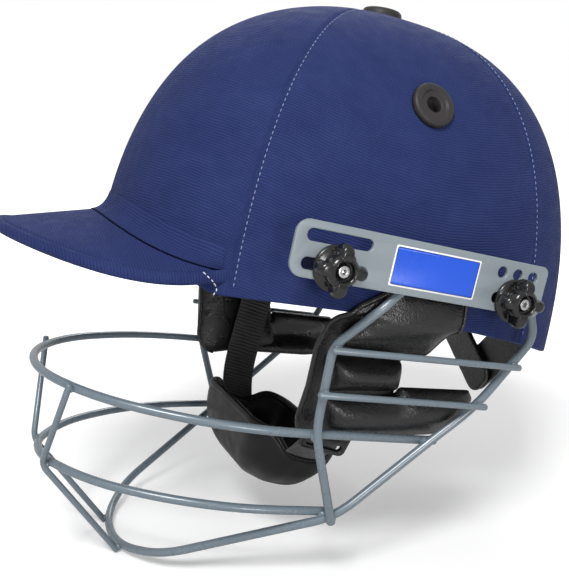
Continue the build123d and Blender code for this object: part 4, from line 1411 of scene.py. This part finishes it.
# %% The skin of a cushion
CUSHION_SHARES = (0.0, 0.15, 0.3, 0.43, 0.55, 0.66, 0.75, 0.83, 0.89, 0.94, 0.975, 1.0)
OVERLAP_OUT, OVERLAP_IN, OVERLAP_CROWN = 2.2, 0.3, 0.45
OUTER_RISE, OUTER_RISE_SPAN = 9, 8  # where a face leaves the flat, below the rim, and over how much height
INNER_RISE, INNER_RISE_SPAN = 4.5, 3.5
FREE_OF_BARS = -2
SEAM_SHIFT, FULLNESS = 0.12, 0.6
PUCKER, PUCKER_SCALE, PUCKER_SEED = 0.3, 0.3, 7.0


def ease(value):
    """A smooth step from 0 to 1."""
    value = max(0.0, min(1.0, value))
    return value * value * (3 - 2 * value)


def cushion_faces(y, z, crown, depth):
    """The outer and the inner face of a cushion; above the rim it lies outside the shell."""
    flat = pad_plane_x(z) + crown
    wall = shell_x(y, z)
    over = z - rim_height(y)
    outer_rise = ease((over + OUTER_RISE) / OUTER_RISE_SPAN)
    inner_rise = ease((over + INNER_RISE) / INNER_RISE_SPAN)
    outer = flat + (wall + OVERLAP_OUT + OVERLAP_CROWN * max(crown, 0) - flat) * outer_rise
    outer = min(outer, max(bar_limit(y, z), wall + OVERLAP_OUT if over > FREE_OF_BARS else 0))
    inner = flat - depth + (wall + OVERLAP_IN - flat + depth) * inner_rise
    return outer, inner


def seam_x(outer, inner):
    """Where the two faces of a cushion are sewn together."""
    return (outer + inner) / 2 + SEAM_SHIFT * (outer - inner)


def cushion(name, corners, rounding, centre, crown, fall, depth):
    """A sewn cushion: two crowned faces that meet in a seam along the outline."""
    outline = fillet_path([(0, y, z) for y, z in corners], (rounding,) * len(corners), closed=True)
    seam = dense(outline + outline[:1])[:-1]
    levels = []
    for share in CUSHION_SHARES:
        level = []
        for place in seam[::2]:
            y = centre[0] + share * (place.y - centre[0])
            z = centre[1] + share * (place.z - centre[1])
            pull = sum(1 / ((y - p.y) ** 2 + (z - p.z) ** 2 + 1e-6) ** 2 for p in seam)
            level.append((y, z, pull ** (-1 / 3) if share < 1 else 0.0))
        levels.append(level)
    most = max(room for level in levels for _, _, room in level)
    rows = []
    for face, face_levels in ((1, levels), (-1, levels[-2::-1])):
        for level in face_levels:
            row = []
            for y, z, room in level:
                full = room / most
                outer, inner = cushion_faces(y, z, crown * (1 - fall * (1 - full)), depth)
                middle = seam_x(outer, inner)
                goal = outer if face > 0 else inner
                spot = Vector((y * PUCKER_SCALE, z * PUCKER_SCALE, PUCKER_SEED))
                pucker = PUCKER * (1 - full) * noise.noise(spot)
                swell = (1 - (1 - full) ** 2) ** FULLNESS
                row.append((middle + (goal - middle) * swell + pucker * face, y, z))
            rows.append(row)
    return outward(skin(name, rows, close_columns=True))


def mirrored(obj, name):
    """The same mesh on the wearer's other side."""
    mesh = obj.data.copy()
    mesh.name = name
    mesh.transform(Matrix.Diagonal((-1, 1, 1, 1)))
    mesh.flip_normals()
    return add_object(name, mesh)


# %% Ear cushions
LEAF = (
    (-38, -9),
    (-28, 1),
    (-11, 14.5),
    (8, 11.5),
    (25, 7),
    (23.5, -4),
    (18.5, -13),
    (11, -20),
    (-2, -18.4),
    (-20, -14.6),
)
MIDDLE_BLOCK = ((-41, -13.6), (0, -22.6), (0, -38.8), (-40, -32.6))
LOWER_LOBE = (
    (-40.5, -35.5),
    (0, -40.5),
    (1.5, -37),
    (42.6, -44.7),
    (46, -50),
    (34.5, -68),
    (21, -67.3),
    (-11, -62),
    (-39, -55.5),
)
STRIP = (
    (-14, 14.5),
    (-28.6, 8.9),
    (-39.5, 1.7),
    (-44.5, -9.7),
    (-46.4, -29.5),
    (-49.8, -46),
    (-48.5, -55),
    (-41, -58.5),
)
BACKING = STRIP + ((0, -58.5), (0, -24), (10, -14), (8, 9))
EAR_CUSHIONS = (  # outline, rounding of its corners, centre, crown, how far the crown falls, depth
    ("leaf", LEAF, 4.0, (-3, -3), 7.5, 0.6, 12.0),
    ("middle", MIDDLE_BLOCK, 2.5, (-20, -27), 8.0, 0.9, 12.0),
    ("lower", LOWER_LOBE, 2.5, (-3, -51), 8.0, 0.9, 12.0),
    ("back", BACKING, 4.0, (-24, -22), -3.0, 0.0, 6.0),
)
for part_name, *shape in EAR_CUSHIONS:
    left = cushion(f"ear_pad_left_{part_name}", *shape)
    right = mirrored(left, f"ear_pad_right_{part_name}")
    for side_name, piece in (("left", left), ("right", right)):
        dress(piece, pad_leather, HELMET, "pad_leather", f"ear_pad_{side_name}")
print("ear pad cushions:", 2 * len(EAR_CUSHIONS))

# %% Piping on the ear pads
PIPINGS = (  # line, rounding of its bends, crown and depth of its cushion, radius
    ("edge", STRIP, 10, -3.0, 6.0, 1.3),
    ("tail", LEAF[4:9], 4, 3.0, 12.0, 0.75),
)
PIPING_OUT = 0.4
for part_name, line, bend, crown, depth, radius in PIPINGS:
    route = []
    for place in dense(fillet_path([(0, y, z) for y, z in line], (bend,) * (len(line) - 2)))[::3]:
        x = seam_x(*cushion_faces(place.y, place.z, crown, depth)) + PIPING_OUT
        route.append((x, place.y, place.z))
    left = tube(f"ear_pad_left_piping_{part_name}", route, radius, 12)
    right = mirrored(left, f"ear_pad_right_piping_{part_name}")
    for piece in (left, right):
        dress(piece, pad_leather, HELMET, "pad_leather")
print("pipings:", 2 * len(PIPINGS))

# %% Nape straps
for side_name in SIDES:
    node = f"nape_strap_{side_name}"
    strap = soften(node_copy(node + "_leather", node), voxel=0.8, rounds=6)
    dress(strap, pad_leather, HELMET, "pad_leather", node)
    print(node, "faces:", len(strap.data.polygons))

# %% [markdown]
# ## Chin strap and cup
# The strap is ribbed nylon webbing. A bump could show the ribs, but the webbing's edge would stay straight
# where ribs notch it. So its skin has real ribs and fine cords, and it follows the strap's centre line. The
# cup is moulded rubber. It could be modelled by hand and subdivided, but as one skin with a wall it is drawn
# from the cup's own length, width and depth. A tube along its edge is the rolled rim.

# %% Webbing
STRAP_LEAN = math.radians(22.3)
STRAP_ORIGIN = Vector((0, 6, 20))
STRAP_UP = Vector((0, math.sin(STRAP_LEAN), math.cos(STRAP_LEAN)))
STRAP_FRONT = Vector((0, -math.cos(STRAP_LEAN), math.sin(STRAP_LEAN)))
STRAP_HALF = ((91.4, 8), (91.4, -8), (78.5, -22), (62, -95), (35, -121))
STRAP_MIDDLE = (0, -131.5)
STRAP_BENDS = (12, 25, 40, 40, 60, 40, 40, 25, 12)
WEB_HALF_WIDTH, WEB_HALF_THICK, WEB_COLUMNS = 10, 0.9, 32
EDGE_THINNING = 0.55
RIB_PITCH, RIB_HEIGHT, STATIONS_PER_RIB = 2.1, 0.3, 4
CORD_PITCH, CORD_HEIGHT = 1.9, 0.14
BACK_FACE_UV = 30


def strap_place(x, across, up):
    """A place from how far it lies sideways, forwards and up in the strap's leaning frame."""
    return STRAP_ORIGIN + Vector((x, 0, 0)) + STRAP_FRONT * across + STRAP_UP * up


def web_section(along):
    """Half thicknesses across the webbing, with its cords, at one place along its ribs."""
    rib = RIB_HEIGHT * math.sin(2 * math.pi * along / RIB_PITCH)
    section = []
    for column in range(WEB_COLUMNS + 1):
        across = -WEB_HALF_WIDTH + 2 * WEB_HALF_WIDTH * column / WEB_COLUMNS
        cord = CORD_HEIGHT * math.cos(2 * math.pi * across / CORD_PITCH)
        thin = 1 - EDGE_THINNING * (abs(across) / WEB_HALF_WIDTH) ** 6
        section.append((across, (WEB_HALF_THICK + rib + cord) * thin))
    return section


def webbing():
    """The whole chin strap as a ribbed band."""
    points = list(STRAP_HALF) + [STRAP_MIDDLE] + [(-x, up) for x, up in reversed(STRAP_HALF)]
    route = fillet_path([strap_place(x, 0, up) for x, up in points], STRAP_BENDS, turn_step=3)
    lengths = [0.0]
    for start, end in zip(route, route[1:]):
        lengths.append(lengths[-1] + (end - start).length)
    stations = int(lengths[-1] / RIB_PITCH * STATIONS_PER_RIB)
    rows, uvs = [], []
    segment = 0
    for station in range(stations + 1):
        along = lengths[-1] * station / stations
        while segment < len(route) - 2 and lengths[segment + 1] < along:
            segment += 1
        start, end = route[segment], route[segment + 1]
        place = start.lerp(end, (along - lengths[segment]) / (lengths[segment + 1] - lengths[segment]))
        out = (end - start).normalized().cross(STRAP_FRONT)
        section = web_section(along)
        ring = section + [(across, -thick) for across, thick in reversed(section)]
        rows.append([place + STRAP_FRONT * across + out * thick for across, thick in ring])
        uvs += [(across + (BACK_FACE_UV if thick < 0 else 0), along) for across, thick in ring]
    print("webbing length in mm:", round(lengths[-1], 1))
    return outward(skin("chin_strap_webbing", rows, uvs, close_columns=True))


strap = webbing()
dress(strap, web_black, STRAP, "webbing", "chin_strap")
print("strap faces:", len(strap.data.polygons))

# %% Chin cup
CUP_LENGTH, CUP_WIDTH, CUP_CORNER = 51.0, 26.0, 21.0
CUP_RIM, CUP_BOTTOM, CUP_WALL = 100.5, 135.0, 2.5
CUP_DIP, CUP_DIP_WIDTH = 9.0, 15
CUP_PROFILE = ((0, 1), (0.62, 1), (1, 0.6), (1, 0))
CUP_STEPS = 24
CUP_ROLL_RADIUS = 2.3


def cup_rim_drop(x, across):
    """The rim's depth, which dips at both ends to let the strap in."""
    return CUP_RIM + CUP_DIP * (abs(x) / CUP_LENGTH) ** 6 * math.exp(-((across / CUP_DIP_WIDTH) ** 4))


cup_corners = [(CUP_LENGTH, CUP_WIDTH, 0), (-CUP_LENGTH, CUP_WIDTH, 0), (-CUP_LENGTH, -CUP_WIDTH, 0)]
cup_corners.append((CUP_LENGTH, -CUP_WIDTH, 0))
cup_outline = fillet_path(cup_corners, (CUP_CORNER,) * 4, closed=True)
cup_outline = dense(cup_outline + cup_outline[:1])[:-1][::3]
cup_rows = []
for face, inset in ((1, 0.0), (-1, CUP_WALL)):
    keep = 1 - inset / CUP_WIDTH
    rows = []
    for step in range(CUP_STEPS + 1):
        share, depth_share = bezier(CUP_PROFILE, step / CUP_STEPS)
        row = []
        for place in cup_outline:
            top = cup_rim_drop(place.x, place.y)
            drop = top + (CUP_BOTTOM - inset - top) * depth_share
            row.append(strap_place(place.x * share * keep, place.y * share * keep, -drop))
        rows.append(row)
    cup_rows += rows[::face]
cup = outward(skin("chin_cup_bowl", cup_rows, close_columns=True))
dress(cup, cup_rubber, STRAP, "cup_rubber", "chin_cup")
keep = 1 - CUP_WALL / 2 / CUP_WIDTH
rim_route = []
for place in cup_outline + cup_outline[:1]:
    rim_route.append(strap_place(place.x * keep, place.y * keep, -cup_rim_drop(place.x, place.y)))
dress(tube("chin_cup_rolled_rim", rim_route, CUP_ROLL_RADIUS, 14), cup_rubber, STRAP, "cup_rubber")
print("cup faces:", len(cup.data.polygons))

# %% Strap slider
SLIDER_UP, SLIDER_OUT = -91.0, 2.4
SLIDER_SIZE, SLIDER_CORNER = (26, 15), 3.0
SLIDER_THICK, SLIDER_EDGE = 2.8, 0.8
SLIDER_SLOT, SLIDER_SLOT_CORNER, SLIDER_SLOT_SHIFT = (20.0, 2.8), 1.2, 3.4
(high_x, high_up), (low_x, low_up) = STRAP_HALF[2:4]
slider_run = Vector((high_x - low_x, high_up - low_up)).normalized()
slider_up = Vector((slider_run.x, 0, 0)) + STRAP_UP * slider_run.y
slider_out = Vector((slider_run.y, 0, 0)) - STRAP_UP * slider_run.x
slider_x = low_x + (high_x - low_x) * (SLIDER_UP - low_up) / (high_up - low_up)
slider_matrix = Matrix((STRAP_FRONT, slider_up, slider_out)).transposed().to_4x4()
slider_matrix.translation = (strap_place(slider_x, 0, SLIDER_UP) + slider_out * SLIDER_OUT) * MM
slider_loops = [rectangle(*SLIDER_SIZE, (SLIDER_CORNER,) * 4)]
for shift in (SLIDER_SLOT_SHIFT, -SLIDER_SLOT_SHIFT):
    opening = rectangle(*SLIDER_SLOT, (SLIDER_SLOT_CORNER,) * 4)
    slider_loops.append([(u, v + shift) for u, v in opening])
slider = slab("strap_slider", slider_loops, SLIDER_THICK, SLIDER_EDGE, slider_matrix)
dress(slider, knob_plastic, STRAP, "cup_rubber")
print("slider faces:", len(slider.data.polygons))

# %% [markdown]
# ## Stage, light and camera
# The helmet stands in a white studio. A strong light on the floor would make it white but would also bleach
# the helmet, so the floor glows for the camera alone and keeps a soft shadow. Its glow is weaker near the
# helmet, which paints a grey shade round it. The world is white for the camera, a little darker in
# reflections and dim as a light. The camera is the one that the photograph was solved for.

# %% Floor
FLOOR_SIZE, FLOOR_GAP = 8.0, 0.0004
GLOW_START, GLOW_END = 0.25, 0.7
# The weaker glow near the helmet paints a grey shade round it; further out the floor glows white.
SHADED_NEAR_GLOW, FAR_GLOW = 0.3, 1.0
low_corner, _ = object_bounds()
bpy.ops.mesh.primitive_plane_add(size=FLOOR_SIZE, location=(0, 0, low_corner.z - FLOOR_GAP))
floor = bpy.context.object
floor.name = "floor"
floor_paint = bpy.data.materials.new("floor white")
floor_paint.use_nodes = True
floor_tree = floor_paint.node_tree
floor_shader = floor_tree.nodes["Principled BSDF"]
glow, together, seen_or_lit, rays, floor_place, floor_reach, glow_ramp = (
    floor_tree.nodes.new("ShaderNode" + kind)
    for kind in ("Emission", "AddShader", "MixShader", "LightPath", "TexCoord", "VectorMath", "MapRange")
)
floor_reach.operation = "LENGTH"
for node, label, value in (
    (floor_shader, "Base Color", (0.8, 0.8, 0.8, 1)),
    (floor_shader, "Roughness", 0.9),
    (floor_shader, "Specular IOR Level", 0.1),
    (glow, "Color", (1, 1, 1, 1)),
    (glow_ramp, "From Min", GLOW_START),
    (glow_ramp, "From Max", GLOW_END),
    (glow_ramp, "To Min", SHADED_NEAR_GLOW),
    (glow_ramp, "To Max", FAR_GLOW),
):
    node.inputs[label].default_value = value
for source, output, target, socket in (
    (floor_place, "Object", floor_reach, 0),
    (floor_reach, "Value", glow_ramp, "Value"),
    (glow_ramp, "Result", glow, "Strength"),
    (floor_shader, "BSDF", together, 0),
    (glow, "Emission", together, 1),
    (rays, "Is Camera Ray", seen_or_lit, "Fac"),
    (floor_shader, "BSDF", seen_or_lit, 1),
    (together, "Shader", seen_or_lit, 2),
    (seen_or_lit, "Shader", floor_tree.nodes["Material Output"], "Surface"),
):
    floor_tree.links.new(source.outputs[output], target.inputs[socket])
floor.data.materials.append(floor_paint)
print("floor height:", round(floor.location.z, 4))

# %% World
WORLD_LEVEL, MIRROR_SHARE = 0.26, 0.6
world = bpy.data.worlds.new("studio")
bpy.context.scene.world = world
world.use_nodes = True
sky_tree = world.node_tree
sky = sky_tree.nodes["Background"]
sky.inputs["Color"].default_value = (1, 1, 1, 1)
sky_rays = sky_tree.nodes.new("ShaderNodeLightPath")
sky_mix = sky_tree.nodes.new("ShaderNodeMapRange")
sky_mix.inputs["To Min"].default_value = WORLD_LEVEL
sky_mix.inputs["To Max"].default_value = 1.0
seen = maths(sky_tree, "MAXIMUM", sky_rays.outputs["Is Camera Ray"], sky_rays.outputs["Is Transmission Ray"])
mirror = maths(sky_tree, "MULTIPLY", sky_rays.outputs["Is Glossy Ray"], MIRROR_SHARE)
sky_tree.links.new(maths(sky_tree, "MAXIMUM", seen, mirror), sky_mix.inputs["Value"])
sky_tree.links.new(sky_mix.outputs["Result"], sky.inputs["Strength"])
bpy.context.scene.view_settings.view_transform = "Standard"
print("world level:", WORLD_LEVEL)

# %% Soft lamps
TARGET = Vector((0, -0.0237, -0.0065))


def aimed(name, data, azimuth, elevation, distance):
    """A lamp or camera that faces the target, from degrees and metres; azimuth 0 stands in front."""
    a, e = math.radians(azimuth), math.radians(elevation)
    obj = add_object(name, data)
    way = Vector((math.sin(a) * math.cos(e), -math.cos(a) * math.cos(e), math.sin(e)))
    obj.location = TARGET + way * distance
    obj.rotation_mode = "QUATERNION"
    obj.rotation_quaternion = (TARGET - obj.location).to_track_quat("-Z", "Y")
    return obj


for name, azimuth, elevation, distance, size, power in (
    ("key", 55, 50, 1.3, 0.4, 15),
    ("fill", 88, 6, 1.4, 0.3, 5),
    ("back", 240, 40, 1.3, 0.6, 6),
):
    lamp = bpy.data.lights.new(name, "AREA")
    lamp.size = size
    lamp.energy = power
    aimed(name, lamp, azimuth, elevation, distance)
print("lamps:", len(bpy.data.lights))

# %% Camera
SOLVED_FOCAL = 823.0
PHOTO_LONG_SIDE = 588.0
view_data = bpy.data.cameras.new("camera")
view_data.sensor_width = 36.0
view_data.lens = SOLVED_FOCAL / PHOTO_LONG_SIDE * view_data.sensor_width
view_data.clip_start = 0.01
view_data.clip_end = 50
camera = aimed("camera", view_data, 67.5, 12.8, 0.45)
bpy.context.scene.camera = camera
print("lens:", round(view_data.lens, 1))
